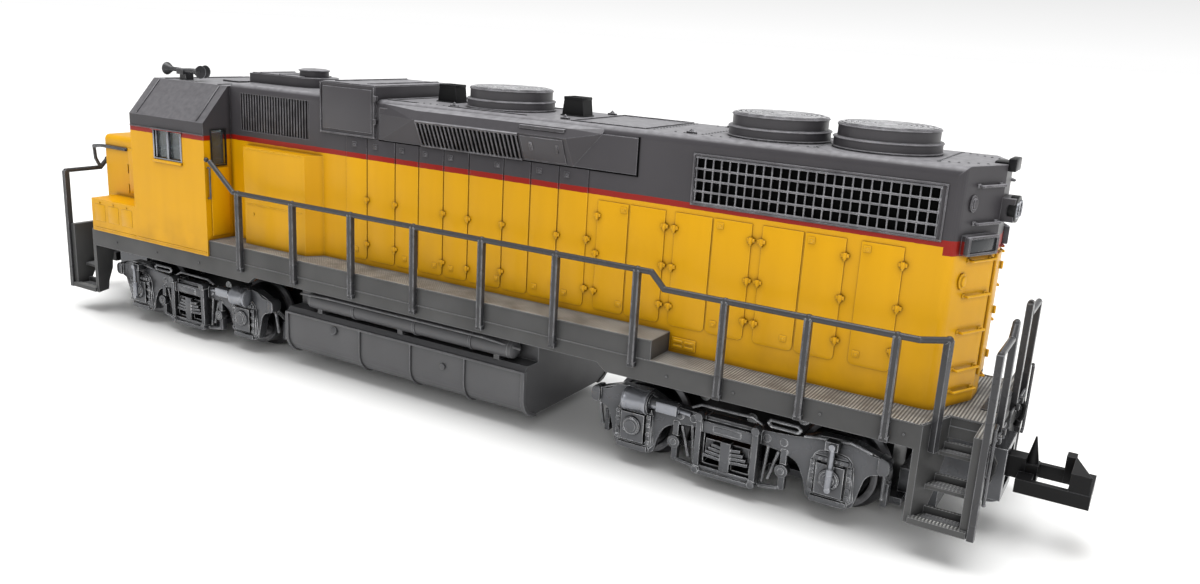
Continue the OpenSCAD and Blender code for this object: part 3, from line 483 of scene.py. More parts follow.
def dress_cad_nodes():
    """Each CAD node takes the look of the longest word that its name starts with."""
    looks = {word: look for look, words in CAD_LOOKS.items() for word in words.split()}
    for name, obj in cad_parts.items():
        word = max((w for w in looks if name.startswith(w)), key=len)
        obj.data.materials.clear()
        obj.data.materials.append(looks[word])


# ---- Long hood ----

# Along the hood: seams between the narrow doors, the wide doors' edges, and the hinges' places and heights
ENGINE_SEAMS = [10.77, 7.98, 4.42, 1.53, -1.44, -4.35, -8.2, -11.11, -14.03, -17.03]
WIDE_DOORS = [(-18.03, -20.98), (-21.15, -24.43), (-25.33, -28.6), (-28.75, -32.0), (-32.88, -36.18),
              (-36.33, -39.5), (-40.65, -43.8)]
HINGED = {-1.44: (18.5, 13.8), -4.35: (18.4, 13.7), -8.2: (18.45, 14.1), -14.03: (18.4, 14.0),
          4.42: (18.5, 14.1), 7.98: (18.5, 14.1), -17.1: (18.5, 14.15)}
WIDE_HINGES = [-18.05, -24.43, -25.33, -32.0, -32.88, -39.52, -43.82]


def door(shape, hi, lo, top, foot=12.45, r=0.4):
    """A thin door on the hood's side, with rounded lower corners."""
    foot_corners = arc(lo + r, foot + r, r, 180, 270, 4) + arc(hi - r, foot + r, r, 270, 360, 4)
    shape.prism(foot_corners + [(hi, top), (lo, top)], "y", HOOD_Y - 0.05, HOOD_Y + 0.09, 0.03)


def hood_doors():
    """The row of doors along each side: narrow ones up to the roof, wide ones under the grille."""
    doors = Shape()
    half_gap = 0.07
    for a, b in zip(ENGINE_SEAMS, ENGINE_SEAMS[1:]):
        door(doors, a - half_gap, b + half_gap, 24.4)
    for a, b in WIDE_DOORS:
        door(doors, a, b, 21.97)
    doors.mirror().done("hood_doors", paint, "body_paint")


def hinge(shape, x, z):
    """A barrel on two short leaves, with the end of its pin below."""
    y = HOOD_Y + 0.1
    shape.box((x - 0.33, y - 0.08, z - 0.14), (x + 0.33, y + 0.12, z + 0.16), 0.05)
    shape.rod((x, y + 0.1, z - 0.26), (x, y + 0.1, z + 0.24), 0.17, sides=10, bevel=0.04)
    shape.rod((x, y + 0.08, z - 0.4), (x, y + 0.08, z - 0.2), 0.09, sides=8)


def latch(shape, x, z):
    """A square keeper plate with a small knob."""
    y = HOOD_Y + 0.08
    shape.plate(x - 0.28, x + 0.28, z - 0.26, z + 0.26, y, 0.07)
    shape.pin(x - 0.05, z - 0.05, y, y + 0.18, 0.12, 10, 0.04)


def hood_fittings():
    """Every hinge and latch on the doors."""
    fittings = Shape()
    for x, heights in HINGED.items():
        for z in heights:
            hinge(fittings, x, z)
    for x in WIDE_HINGES:
        for z in (20.68, 17.42, 14.1):
            hinge(fittings, x, z)
    for z, places in ((21.45, (-20.57, -29.32, -36.83, -41.1)),
                      (13.35, (-0.5, -2.45, -7.8, -11.9, -15.05, -20.56, -29.4, -41.2, -35.4, 3.2, 9.4)),
                      (23.74, (9.6, 6.9, 3.6, 0.76, -2.2, -7.48, -11.96, -14.8))):
        for x in places:
            latch(fittings, x, z)
    fittings.mirror().done("hood_hinges_and_latches", paint, "body_paint")


def hood_louvre_box():
    """Low louvred outlet beside the raised walkway's rear end."""
    lower = Shape()
    lower.plate(-28.05, -25.85, 10.55, 11.55, HOOD_Y, 0.1)
    for row in (10.85, 11.25):
        for column in (-27.45, -26.45):
            lower.box((column - 0.4, HOOD_Y + 0.06, row - 0.1), (column + 0.4, HOOD_Y + 0.22, row + 0.1), 0.05)
    lower.mirror().done("hood_louvres", paint, "body_paint")


def blower_panels():
    """Two ledges and two bolts on the blower housing behind the cab, on the left side."""
    panels = Shape()
    face = 7.18
    for z in (16.2, 21.9):
        panels.box((15.4, face - 0.04, z - 0.05), (23.4, face + 0.06, z + 0.05))
    for x in (16.4, 22.4):
        panels.pin(x, 15.2, face, face + 0.12, 0.12, 10, 0.04)
    panels.done("blower_panels", paint, "body_paint")


def shade_sheet(name, x0, x1, z0, z1):
    """A black sheet at the back of an opening in the hood's side, as painted shade for the space behind it."""
    back = Shape()
    back.box((x0 + 0.02, HOOD_Y - 0.36, z0 + 0.02), (x1 - 0.02, HOOD_Y - 0.3, z1 - 0.02), 0.01)
    back.mirror().done(name, shadow_black, "roof_detail")


def radiator_grille():
    """A grid of flat rails over upright bars, with a raised rim."""
    x0, x1, z0, z1 = -45.8, -26.7, 22.9, 26.7
    shade_sheet("radiator_shade_sheet", x0, x1, z0, z1)
    bars = Shape()
    for i in range(5):
        z = z0 + 0.1 + i * (z1 - z0 - 0.2) / 4
        bars.box((x0, HOOD_Y - 0.22, z - 0.08), (x1, HOOD_Y + 0.06, z + 0.08))
    for i in range(28):
        x = x0 + 0.1 + i * (x1 - x0 - 0.2) / 27
        bars.box((x - 0.055, HOOD_Y - 0.28, z0), (x + 0.055, HOOD_Y - 0.06, z1), 0.02)
    bars.mirror().done("radiator_bars", grille_grey, "roof_detail")
    rim = Shape()
    for z in (z0 - 0.08, z1 + 0.12):
        rim.plate(x0 - 0.4, x1 + 0.2, z - 0.07, z + 0.07, HOOD_Y, 0.1)
    for x in (x0 - 0.33, x1 + 0.13):
        rim.plate(x - 0.07, x + 0.07, z0 - 0.1, z1 + 0.15, HOOD_Y, 0.1)
    rim.mirror().done("radiator_rim", roof_grey, "roof_detail")


def intake_slats():
    """Engine room intake behind the cab: close upright slats in a shallow pocket."""
    x0, x1, z0, z1 = 15.8, 25.6, 23.5, 27.3
    shade_sheet("intake_shade_sheet", x0, x1, z0, z1)
    slats = Shape()
    for i in range(25):
        x = x0 + 0.2 + i * (x1 - x0 - 0.4) / 24
        slats.box((x - 0.08, HOOD_Y - 0.3, z0), (x + 0.08, HOOD_Y - 0.06, z1), 0.03)
    slats.mirror().done("intake_slats", roof_grey, "roof_detail")


def bulge_point(share, lift):
    """A (y, z) point over the brake hatch's slanted face: share 0 at the foot, 1 at the crest."""
    foot, crest = Vector((HOOD_Y + 0.15, 24.5)), Vector((HOOD_Y + 1.2, 26.9))
    at = foot.lerp(crest, share)
    out = Vector((crest.y - foot.y, foot.x - crest.x)).normalized() * lift
    return at + out


def slanted(shape, x0, x1, low, high, lift0, lift1, bevel=0.02):
    """A flat slab lying on the brake hatch's slanted face."""
    corners = ((low, lift0), (high, lift0), (high, lift1), (low, lift1))
    shape.prism([bulge_point(share, lift) for share, lift in corners], "x", min(x0, x1), max(x0, x1), bevel)


def brake_hatch():
    """Grid slats over a black sheet of painted shade, a plain panel behind them, and black strips of painted
    shadow along the hatch's lower and rear edges.
    """
    dark = Shape()
    # A black sheet of painted shade under the slats.
    slanted(dark, 1.0, -10.25, 0.05, 0.94, -0.1, 0.03, 0.01)
    dark.mirror().done("brake_grid_shade_sheet", shadow_black, "roof_detail")
    slats = Shape()
    for i in range(25):
        x = 1.0 - i * 11.1 / 24
        slanted(slats, x - 0.075, x + 0.075, 0.05, 0.94, 0.0, 0.17)
    for low, high in ((0.93, 1.0), (0.0, 0.05)):
        slanted(slats, 1.1, -10.3, low, high, -0.05, 0.2)
    slats.mirror().done("brake_grid_slats", roof_grey, "roof_detail")
    panel = Shape()
    slanted(panel, -10.5, -14.85, 0.06, 0.93, -0.05, 0.1, 0.03)
    for x in (-11.5, -14.2):
        slanted(panel, x - 0.12, x + 0.12, 0.45, 0.72, 0.0, 0.24, 0.05)
    panel.box((-14.9, 6.3, 27.3), (-10.3, 6.75, 27.62), 0.07)
    panel.mirror().done("brake_hatch_panel", roof_grey, "roof_detail")
    hatch_shadow = Shape()
    # Black strips of painted shadow along the hatch's lower and rear edges.
    hatch_shadow.box((-21.62, HOOD_Y - 0.02, 24.36), (6.5, HOOD_Y + 0.1, 24.5), 0.02)
    hatch_shadow.box((-21.62, HOOD_Y - 0.02, 24.4), (-21.48, HOOD_Y + 0.1, 27.6), 0.02)
    hatch_shadow.mirror().done("brake_hatch_shadow_strip", shadow_black, "roof_detail")


def filter_box_panels():
    """Side panels with corner blocks, and the lid of the air-filter housing."""
    y = HOOD_Y + 0.15
    panels = Shape()
    panels.plate(7.3, 13.7, 24.95, 29.05, y, 0.08)
    panels.plate(6.95, 14.05, 24.5, 24.66, y, 0.1)
    for x in (7.05, 13.95):
        panels.plate(x - 0.08, x + 0.08, 24.6, 29.3, y, 0.1)
    for z in (26.1, 28.3):
        panels.box((6.75, y - 0.25, z - 0.25), (7.1, y + 0.14, z + 0.25), 0.06)
    panels.mirror()
    panels.box((7.1, -HOOD_Y, 29.35), (13.9, HOOD_Y, 29.5), 0.06)
    for x in (8.4, 12.6):
        panels.box((x - 0.12, -5.2, 29.45), (x + 0.12, 5.2, 29.62), 0.05)
    panels.done("air_filter_panels", roof_grey, "roof_detail")


# ---- Roof ----

def rivet_row(shape, a, b, count):
    """Flat-topped rivets on the roof, from one (x, y) to another."""
    for i in range(count):
        place = Vector((*a, ROOF_Z)).lerp(Vector((*b, ROOF_Z)), i / (count - 1))
        shape.ball(place, 0.12, squash=(1, 1, 0.7))


def roof_details():
    """Seams, rivets and lift lugs on the hood roof, and the bracket at its rear edge."""
    z = ROOF_Z
    plates = Shape()
    for x0, x1 in ((-21.3, -14.4), (-9.6, -0.9), (2.9, 6.4)):
        for y in (-4.6, 4.6):
            plates.box((x0, y - 0.08, z - 0.05), (x1, y + 0.08, z + 0.1), 0.03)
    for x in (-21.4, -14.3, 6.0):
        plates.box((x - 0.08, -4.7, z - 0.05), (x + 0.08, 4.7, z + 0.1), 0.03)
    plates.done("roof_seams", roof_grey, "roof_detail")
    rivets = Shape()
    for y in (-4.2, 4.2):
        rivet_row(rivets, (-48.0, y * 0.55), (-45.0, y), 6)
        rivet_row(rivets, (-36.0, y), (-24.0, y), 16)
        rivet_row(rivets, (-20.9, y), (-14.9, y), 12)
        rivet_row(rivets, (0.0, y), (5.4, y), 8)
    for x in (-22.0, -26.4, -35.7, -44.9):
        rivet_row(rivets, (x, -4.1), (x, 4.1), 15)
    rivets.done("roof_rivets", tank_grey, "roof_detail")
    lugs = Shape()
    for x in (-25.4, -1.2, -13.3):
        for y in (4.1, -4.1):
            lugs.box((x - 0.45, y - 0.12, z - 0.05), (x + 0.45, y + 0.12, z + 0.18), 0.05)
            lugs.wire([(x - 0.25, y, z + 0.1), (x, y, z + 0.34), (x + 0.25, y, z + 0.1)], 0.08, 6)
    lugs.done("roof_lift_lugs", roof_grey, "roof_detail")
    bracket = Shape()
    bracket.box((-49.3, -0.9, z - 0.1), (-48.2, 0.9, z + 0.16), 0.06)
    bracket.box((-49.75, -1.1, z - 0.5), (-49.15, 1.1, z + 0.45), 0.1)
    bracket.done("rear_roof_bracket", black_plastic, "roof_detail")


def fan_top(x):
    """Blades and hub, then a guard of rings and spokes, set in the drum's mouth."""
    name = "fan_{:02d}".format(int(round(-x)))
    mouth = 30.06
    blades = Shape()
    blades.lathe([(0.9, 0.0), (0.9, 0.25), (0.6, 0.38), (0.1, 0.42)], (x, 0, 29.45), sides=24)
    for i in range(8):
        turn = Matrix.Translation((x, 0, 29.58)) @ Matrix.Rotation(i * math.pi / 4, 4, "Z")
        turn = turn @ Matrix.Rotation(0.45, 4, "X")
        blades.box((0.8, -0.55, -0.04), (3.3, 0.55, 0.04), 0.02, turn)
    blades.done(name + "_blades", grille_grey, "roof_detail")
    guard = Shape()
    for r in (0.98, 1.4, 1.82, 2.24, 2.66, 3.08, 3.5):
        guard.lathe([(r - 0.11, 0), (r - 0.1, 0.12), (r + 0.1, 0.12), (r + 0.11, 0)], (x, 0, mouth), ring=True)
    for i in range(16):
        spoke = Vector((math.cos(i * math.pi / 8), math.sin(i * math.pi / 8), 0))
        middle = Vector((x, 0, mouth + 0.02))
        guard.rod(middle + spoke * 0.6, middle + spoke * 3.6, 0.07, sides=6)
    guard.rod((x, 0, mouth - 0.09), (x, 0, mouth + 0.14), 0.65, sides=24, bevel=0.05)
    guard.done(name + "_guard", guard_grey, "roof_detail")
    rings = Shape()
    for r, h in ((4.12, 28.32), (4.12, 29.02), (3.87, 29.98)):
        rings.lathe([(r - 0.12, 0), (r + 0.05, 0.02), (r + 0.07, 0.07), (r + 0.02, 0.13), (r - 0.12, 0.14)],
                    (x, 0, h - 0.07), sides=64, ring=True)
    rings.done(name + "_rings", roof_grey, "roof_detail")


def low_roof_box():
    """Lid, straps and round cap of the low duct behind the cab."""
    lid = Shape()
    lid.box((20.6, -2.3, 29.12), (27.6, 2.3, 29.3), 0.05)
    for x in (23.4, 26.2):
        lid.box((x - 0.1, -2.4, 29.2), (x + 0.1, 2.4, 29.4), 0.05)
    lid.lathe([(1.6, 0), (1.62, 0.1), (1.2, 0.22), (0.3, 0.28)], (20.8, 0, 29.84))
    lid.done("roof_box_lid", roof_grey, "roof_detail")


def stack_rims():
    """A raised rim and a foot plate on each exhaust stack."""
    rims = Shape()
    for x in (-12.0, 2.3):
        for y in (-0.725, 0.725):
            rims.box((x - 1.0, y - 0.125, 29.62), (x + 1.0, y + 0.125, 29.9), 0.06)
        for dx in (-0.86, 0.86):
            rims.box((x + dx - 0.14, -0.8, 29.62), (x + dx + 0.14, 0.8, 29.9), 0.06)
        rims.box((x - 1.2, -1.0, 28.15), (x + 1.2, 1.0, 28.3), 0.05)
    rims.done("stack_rims", black_plastic, "roof_detail")


# ---- Rear end of the hood ----

def facet(side):
    """Turns local x along the end facet, y outwards and z up, from the hood's rear corner."""
    start, end = Vector((-47.1, HOOD_Y * side, 0)), Vector((-49.2, 1.2 * side, 0))
    along = (end - start).normalized()
    out = Vector((along.y, -along.x, 0)) * side
    m = Matrix.Identity(4)
    m.col[0], m.col[1], m.col[2] = (*along, 0), (*out, 0), (0, 0, 1, 0)
    m.col[3] = (*start, 1)
    return m


def grab_iron(shape, m, a, b, z):
    """A bent bar on two foot plates, on an end facet."""
    reach = 0.42
    path = [(a, 0, z), (a, reach, z), (b, reach, z), (b, 0, z)]
    shape.wire([m @ Vector(p) for p in path], 0.11)
    for x in (a, b):
        shape.box((x - 0.18, -0.05, z - 0.16), (x + 0.18, 0.08, z + 0.16), 0.04, m)


def lamp_rings(name, x, z, profile):
    """A polished ring around each of a pair of lamps."""
    rings = Shape()
    for y in (-0.62, 0.62):
        rings.lathe(profile, (x, y, z), "x", 24, ring=True)
    rings.done(name, cast_shine, "roof_detail")


def rear_end():
    """Grab irons, marker lamps, number boards, door and lamp housing on the hood's rear end."""
    yellow, grey, glazed = Shape(), Shape(), Shape()
    for side in SIDES:
        m = facet(side)
        for z in (26.8, 24.1):
            grab_iron(grey, m, 1.85, 4.4, z)
        for z in (21.4, 18.75, 16.0, 13.1, 11.4):
            grab_iron(yellow, m, 1.95, 4.5, z)
        yellow.box((1.3, -0.05, 21.75), (4.9, 0.35, 21.95), 0.05, m)
        for z, lamp in ((25.55, grey), (19.9, yellow)):
            lamp.prism(ellipse(1.45, z, 0.42, 0.62, 16), "y", -0.05, 0.16, 0.05, m)
            lamp.prism(ellipse(1.45, z, 0.24, 0.4, 16), "y", 0.1, 0.3, 0.05, m)
        glazed.box((0.92, 0.4, 22.12), (4.02, 0.62, 23.08), 0.05, m)
        for x in (0.85, 4.1):
            grey.box((x - 0.12, 0.3, 21.95), (x + 0.12, 0.72, 23.25), 0.05, m)
        for z in (21.98, 23.2):
            grey.box((0.8, 0.3, z - 0.1), (4.15, 0.72, z + 0.1), 0.05, m)
    housing = Shape()
    housing.prism(ellipse(0, 24.95, 1.45, 1.0, 24), "x", -50.2, -49.6, 0.08)
    housing.done("tail_light_housing", black_plastic, "roof_detail")
    yellow.box((-49.42, -0.95, 12.2), (-49.15, 0.95, 21.6), 0.06)
    for z in (13.5, 17.0, 20.5):
        yellow.rod((-49.5, -0.95, z - 0.3), (-49.5, -0.95, z + 0.3), 0.14, sides=10, bevel=0.04)
    for y in (-3.2, -1.6, 1.6, 3.2):
        yellow.box((-49.0 + abs(y) * 0.35, y - 0.3, 10.25), (-48.6 + abs(y) * 0.35, y + 0.3, 10.7), 0.08)
    yellow.done("rear_end_yellow_trim", paint, "body_paint")
    grey.done("rear_end_grey_trim", roof_grey, "roof_detail")
    glazed.done("rear_end_lenses", smoke, "lens")
    lamp_rings("tail_light_rings", -50.3, 24.95, [(0.62, 0), (0.66, 0.12), (0.52, 0.16), (0.5, 0.05)])


# ---- Cab ----

def gasket(shape, x, y0, y1, z0, z1):
    """A rubber seal around a window in the cab's front or back wall."""
    for a0, a1, b0, b1 in border(y0, y1, z0, z1, 0.15):
        shape.box((x - 0.1, a0, b0), (x + 0.1, a1, b1), 0.03)


def cab_windows():
    """Side window frames with their posts, ledges over and under them, seals and wipers."""
    frames = Shape()
    for a0, a1, b0, b1 in border(30.9, 35.1, 19.9, 22.8, 0.18):
        frames.box((a0, CAB_Y - 0.25, b0), (a1, CAB_Y + 0.08, b1), 0.03)
    frames.box((32.85, CAB_Y - 0.35, 19.9), (33.15, CAB_Y + 0.02, 22.8))
    for x in (31.05, 34.95):
        frames.box((x - 0.1, CAB_Y - 0.3, 19.92), (x + 0.1, CAB_Y - 0.05, 22.78))
    frames.mirror().done("cab_side_window_frames", cast_shine, "roof_detail")
    sills = Shape()
    sills.plate(30.7, 35.3, 19.4, 19.72, CAB_Y, 0.28, 0.1)
    sills.plate(30.5, 35.5, 22.82, 23.0, CAB_Y, 0.25, 0.06)
    sills.mirror().done("cab_arm_rests", paint, "body_paint")
    gaskets = Shape()
    gasket(gaskets, 39.1, 0.5, 3.9, 21.5, 25.2)
    gasket(gaskets, 39.1, 6.5, 8.3, 19.4, 23.3)
    gasket(gaskets, CAB_BACK, 6.5, 8.2, 19.8, 23.4)
    gaskets.mirror().done("cab_window_gaskets", black_plastic, "walkway_paint")
    wipers = Shape()
    wipers.wire([(39.2, 2.2, 25.45), (39.4, 2.2, 25.4), (39.45, 1.3, 22.2)], 0.07)
    wipers.wire([(39.2, 7.4, 23.5), (39.4, 7.4, 23.45), (39.42, 7.0, 20.2)], 0.07)
    wipers.mirror().done("cab_wipers", black_plastic, "walkway_paint")


def cab_dark():
    """Black backing that stands in for the shade inside the cab, and a control stand."""
    inside = Shape()
    inside.box((28.15, -6.0, 12.8), (38.2, 6.0, 18.6), 0.2)
    inside.box((36.6, 2.0, 18.5), (38.1, 6.5, 20.4), 0.2)
    inside.box((31.4, 5.2, 14.0), (33.4, 7.6, 18.9), 0.3)
    inside.box((31.3, 5.0, 18.8), (31.9, 7.7, 21.2), 0.25)
    inside.done("cab_interior", black_plastic, "tank_paint")


def upright_iron(shape, reach, y, heights, r):
    """A grab iron that stands off an end wall: reach is the wall's x and the bar's x."""
    (wall, bar), (foot, top) = reach, heights
    shape.wire([(wall, y, foot), (bar, y, foot), (bar, y, top), (wall, y, top)], r)


def cab_shell_trim():
    """Seams, lids, doors and grab irons on the cab and the short hood."""
    trim = Shape()
    trim.plate(27.35, 39.05, 22.86, 22.98, CAB_Y, 0.1, 0.03)
    for x0, x1 in ((39.2, 46.7), (27.5, 39.0)):
        trim.box((x0, CAB_Y - 0.04, 10.5), (x1, CAB_Y + 0.06, 10.62), 0.03)
    for x in (40.6, 43.0, 45.4):
        trim.plate(x - 0.9, x + 0.9, 11.4, 13.3, CAB_Y, 0.04, 0.03)
        trim.pin(x, 13.5, CAB_Y, CAB_Y + 0.1, 0.1, 10, 0.03)
    for z in (12.6, 14.9, 17.2):
        trim.box((44.4, 5.95, z - 0.5), (44.6, 6.1, z + 0.5), 0.03)
    trim.box((40.2, 5.95, 14.4), (44.2, 6.1, 19.6), 0.05)
    trim.box((CAB_BACK - 0.1, 6.2, 12.3), (CAB_BACK + 0.04, 8.5, 19.5), 0.05)
    trim.mirror()
    trim.box((48.35, -2.6, 11.0), (48.52, -0.9, 19.4), 0.06)
    for z in (13.0, 17.6):
        trim.rod((48.5, -2.6, z - 0.35), (48.5, -2.6, z + 0.35), 0.15, sides=10, bevel=0.04)
    trim.done("cab_panel_trim", paint, "body_paint")
    irons = Shape()
    for side in SIDES:
        for y in (side * 1.6, side * 4.4):
            upright_iron(irons, (48.4, 48.75), y, (12.0, 18.8), 0.11)
        upright_iron(irons, (CAB_BACK, CAB_BACK - 0.3), side * 8.8, (16.4, 19.6), 0.09)
    for z in (20.2, 17.8, 15.4, 13.0):
        irons.wire([(48.4, 2.5, z), (48.78, 2.5, z), (48.78, 4.0, z), (48.4, 4.0, z)], 0.1)
    irons.done("cab_grab_irons", rail_grey, "railing_plastic")


def nose_rails():
    """Bent rails that join the front railing to the short hood."""
    rails = Shape()
    rails.wire([(51.75, 4.6, 16.45), (51.5, 5.3, 17.6), (50.6, 6.0, 19.2), (48.9, 6.12, 19.4),
                (44.6, 6.12, 19.4), (44.6, 5.9, 19.4)], 0.2)
    rails.mirror().done("nose_rails", rail_grey, "railing_plastic")


def cab_roof():
    """Ribs and hatch on the cab roof, its front number boards and the headlight rings."""
    roof, boards = Shape(), Shape()
    for x in (29.0, 37.4):
        roof.box((x - 0.1, -5.7, 27.82), (x + 0.1, 5.7, 28.0))
    roof.box((30.6, -1.6, 27.85), (33.2, 1.6, 28.1), 0.08)
    upright_iron(roof, (39.3, 39.5), -5.0, (25.1, 26.4), 0.08)
    slope = math.atan2(27.9 - 24.2, 3.3)
    for side in SIDES:
        m = Matrix.Translation((0, side * 7.55, 26.05)) @ Matrix.Rotation(-side * slope, 4, "X")
        for x in (28.4, 38.0):
            roof.box((x - 0.08, -2.3, -0.08), (x + 0.08, 2.3, 0.1), 0.04, m)
        y = side * 2.7
        roof.box((39.5, y - 1.75, 25.55), (39.72, y + 1.75, 27.05), 0.06)
        boards.box((39.6, y - 1.45, 25.8), (39.85, y + 1.45, 26.8), 0.05)
    roof.done("cab_roof_trim", roof_grey, "roof_detail")
    boards.done("front_number_glass", smoke, "lens")
    lamp_rings("head_light_rings", 39.05, 26.3, [(0.5, 0.05), (0.52, 0.16), (0.66, 0.12), (0.62, 0)])


# ---- Walkway, steps, railings ----

def rail_posts():
    """Base clamps and ball tops that finish each handrail post."""
    clamps = Shape()
    high = [(22.3 - 7.72 * i, 9.5, 17.6) for i in range(7)]
    low = [(x, 8.5, 16.4) for x in (-31.74, -38.4, -44.9)]
    for x, foot, top in high + low:
        clamps.box((x - 0.34, 8.98, foot - 0.1), (x + 0.34, 9.5, foot + 0.35), 0.08)
        for side in SIDES:
            clamps.rod((x + side * 0.2, 9.46, foot + 0.2), (x + side * 0.2, 9.46, top), 0.08, sides=8)
        clamps.ball((x, 9.25, top), 0.32, detail=2)
    clamps.ball((-48.15, 7.93, 16.4), 0.32, detail=2)
    clamps.mirror().done("handrail_clamps", rail_grey, "railing_plastic")


def sill_trim():
    """Lips and bolts along the side sills, and raised plates on the end sills."""
    trim = Shape()
    trim.box((-46.8, SILL_Y, 10.12), (46.8, SILL_Y + 0.16, 10.24), 0.03)
    trim.box((-25.5, SILL_Y, 11.8), (27.2, SILL_Y + 0.16, 11.93), 0.03)
    for x in (-46.2, -40.0, -33.0, -27.2, 29.0, 36.0, 43.0):
        trim.pin(x, 9.2, SILL_Y + 0.05, SILL_Y + 0.22, 0.1, 8, 0.03)
    trim.mirror()
    for end in SIDES:
        x = end * SILL_X
        trim.box((x, -2.4, 8.4), (x + end * 0.17, 2.4, 10.1), 0.06)
        for y in (-5.25, 5.25):
            trim.box((x, y - 0.85, 8.6), (x + end * 0.15, y + 0.85, 9.9), 0.06)
    trim.done("sill_trim", tread, "walkway_paint")


def end_platform():
    """Coupler release rods, a drop plate and hanging hoses at both ends."""
    rods, hoses = Shape(), Shape()
    for end in SIDES:
        x = end * 51.9
        for side in SIDES:
            outer, inner = side * 8.2, side * 1.2
            rods.wire([(x, outer, 7.2), (x, outer, 9.0), (x, inner, 9.0), (x, inner, 7.8)], 0.1)
        for y in (-5.2, -3.2, 3.2, 5.2):
            rods.box((x - 0.35, y - 0.2, 8.75), (x + 0.1, y + 0.2, 9.25), 0.06)
        rods.box((end * 50.9 - 0.7, -2.9, 10.15), (end * 50.9 + 0.7, 2.9, 10.32), 0.06)
        for y in (-7.0, 7.0):
            hoses.wire([(end * SILL_X, y, 8.5), (end * 52.0, y, 8.4), (end * 52.25, y * 0.99, 7.9),
                        (end * 52.2, y * 0.98, 7.1), (end * 51.95, y * 0.97, 6.5)], 0.2)
            hoses.rod((end * 52.0, y * 0.97, 6.7), (end * 51.85, y * 0.96, 6.2), 0.28, sides=10, bevel=0.06)
    rods.done("coupler_release_rods", rail_grey, "railing_plastic")
    hoses.done("brake_hoses", black_plastic, "walkway_paint")


def well_x(y):
    """Where a step well's slanted inner side stands, at that distance from the middle."""
    return 47.45 + (9.0 - y) * 0.4032


def step_tread_plates():
    """A raised plate with ribs on each tread, and a bead around the edge of each step well."""
    treads = Shape()
    for end in SIDES:
        for z, back, front in ((3.0, 7.6, 8.58), (5.35, 6.8, 7.75), (7.75, 6.25, 6.66)):
            gap, outer = 0.02, 50.86
            corners = ((well_x(back) + gap, back), (well_x(front) + gap, front), (outer, front), (outer, back))
            treads.prism([(end * x, y) for x, y in corners], "z", z - 0.03, z + 0.07, 0.02)
            for i in range(int((front - back) / 0.3)):
                y = back + 0.17 + i * 0.3
                lo, hi = sorted((end * (well_x(y) + 0.35), end * 50.7))
                treads.box((lo, y - 0.06, z + 0.04), (hi, y + 0.06, z + 0.14), 0.02)
        treads.wire([(end * 47.3, 8.97, 10.2), (end * 48.55, 5.82, 10.2), (end * 50.9, 5.82, 10.2)], 0.1)
    treads.mirror().done("step_treads", tread, "walkway_paint")


def corner_irons():
    """Upright grab iron outside each front step."""
    irons = Shape()
    for x in (52.2, -52.2):
        irons.wire([(x, 8.4, 5.2), (x, 8.9, 5.4), (x, 8.9, 11.0), (x, 8.4, 11.2)], 0.13)
    irons.mirror().done("corner_irons", rail_grey, "railing_plastic")


# ---- Fuel tank ----

def tank_details():
    """End and middle bands, the shelf, air-tank ends and straps, filler, gauge and pipe."""
    trim = Shape()
    outside, inside = arc(5.7, 3.4, 2.28, -88, 0, 10), arc(5.7, 3.4, 1.9, 0, -85, 10)
    side = [(5.55, 1.12), *outside, (7.98, 5.9), (7.5, 5.9), *inside]
    for x, width, bevel in ((-12.72, 0.42, 0.08), (16.9, 0.42, 0.08), (-6.0, 0.16, 0.05), (0.5, 0.16, 0.05),
                            (7.0, 0.16, 0.05)):
        trim.prism(side, "x", x, x + width, bevel)
    trim.box((-12.4, 7.2, 5.7), (17.0, 8.0, 5.92), 0.06)
    dome = [(0.92, 0), (0.86, 0.35), (0.6, 0.6), (0.1, 0.7)]
    back_dome = [(r, -h) for r, h in dome]
    band = [(0.8, 0), (0.98, 0.03), (0.98, 0.32), (0.8, 0.35)]
    for x, profile in ((-10.5, back_dome), (13.96, dome), (-6.5, band), (0.2, band), (8.0, band)):
        trim.lathe(profile, (x, AIR_TANK_Y, AIR_TANK_Z), "x", 24)
    trim.rod((10.5, 7.5, 4.9), (10.5, 8.05, 5.15), 0.42, sides=16, bevel=0.08)
    trim.pin(-3.4, 4.4, 7.6, 8.0, 0.3, 16, 0.06)
    trim.wire([(15.6, 7.3, 7.9), (11.0, 8.0, 8.3), (-8.0, 8.0, 8.3), (-11.6, 7.2, 7.7)], 0.12)
    trim.mirror().done("tank_trim", tank_grey, "tank_paint")


# ---- Trucks ----

def side_profile():
    """The cast side frame's outline, from the truck's middle to its outer end and back."""
    half = [(0.0, 4.95), (2.6, 4.95), (4.6, 4.75), (5.8, 4.2), (6.4, 3.0), (6.7, 1.55), (8.2, 1.3),
            (10.4, 1.5), (10.8, 3.2), (11.2, 4.6), (12.4, 5.0), (12.6, 5.7), (12.3, 6.3), (11.2, 6.3),
            (10.4, 7.0), (7.6, 7.0), (6.2, 6.4), (3.0, 6.15), (0.0, 6.15)]
    return rounded(half + [(-x, z) for x, z in half[1:-1]][::-1])


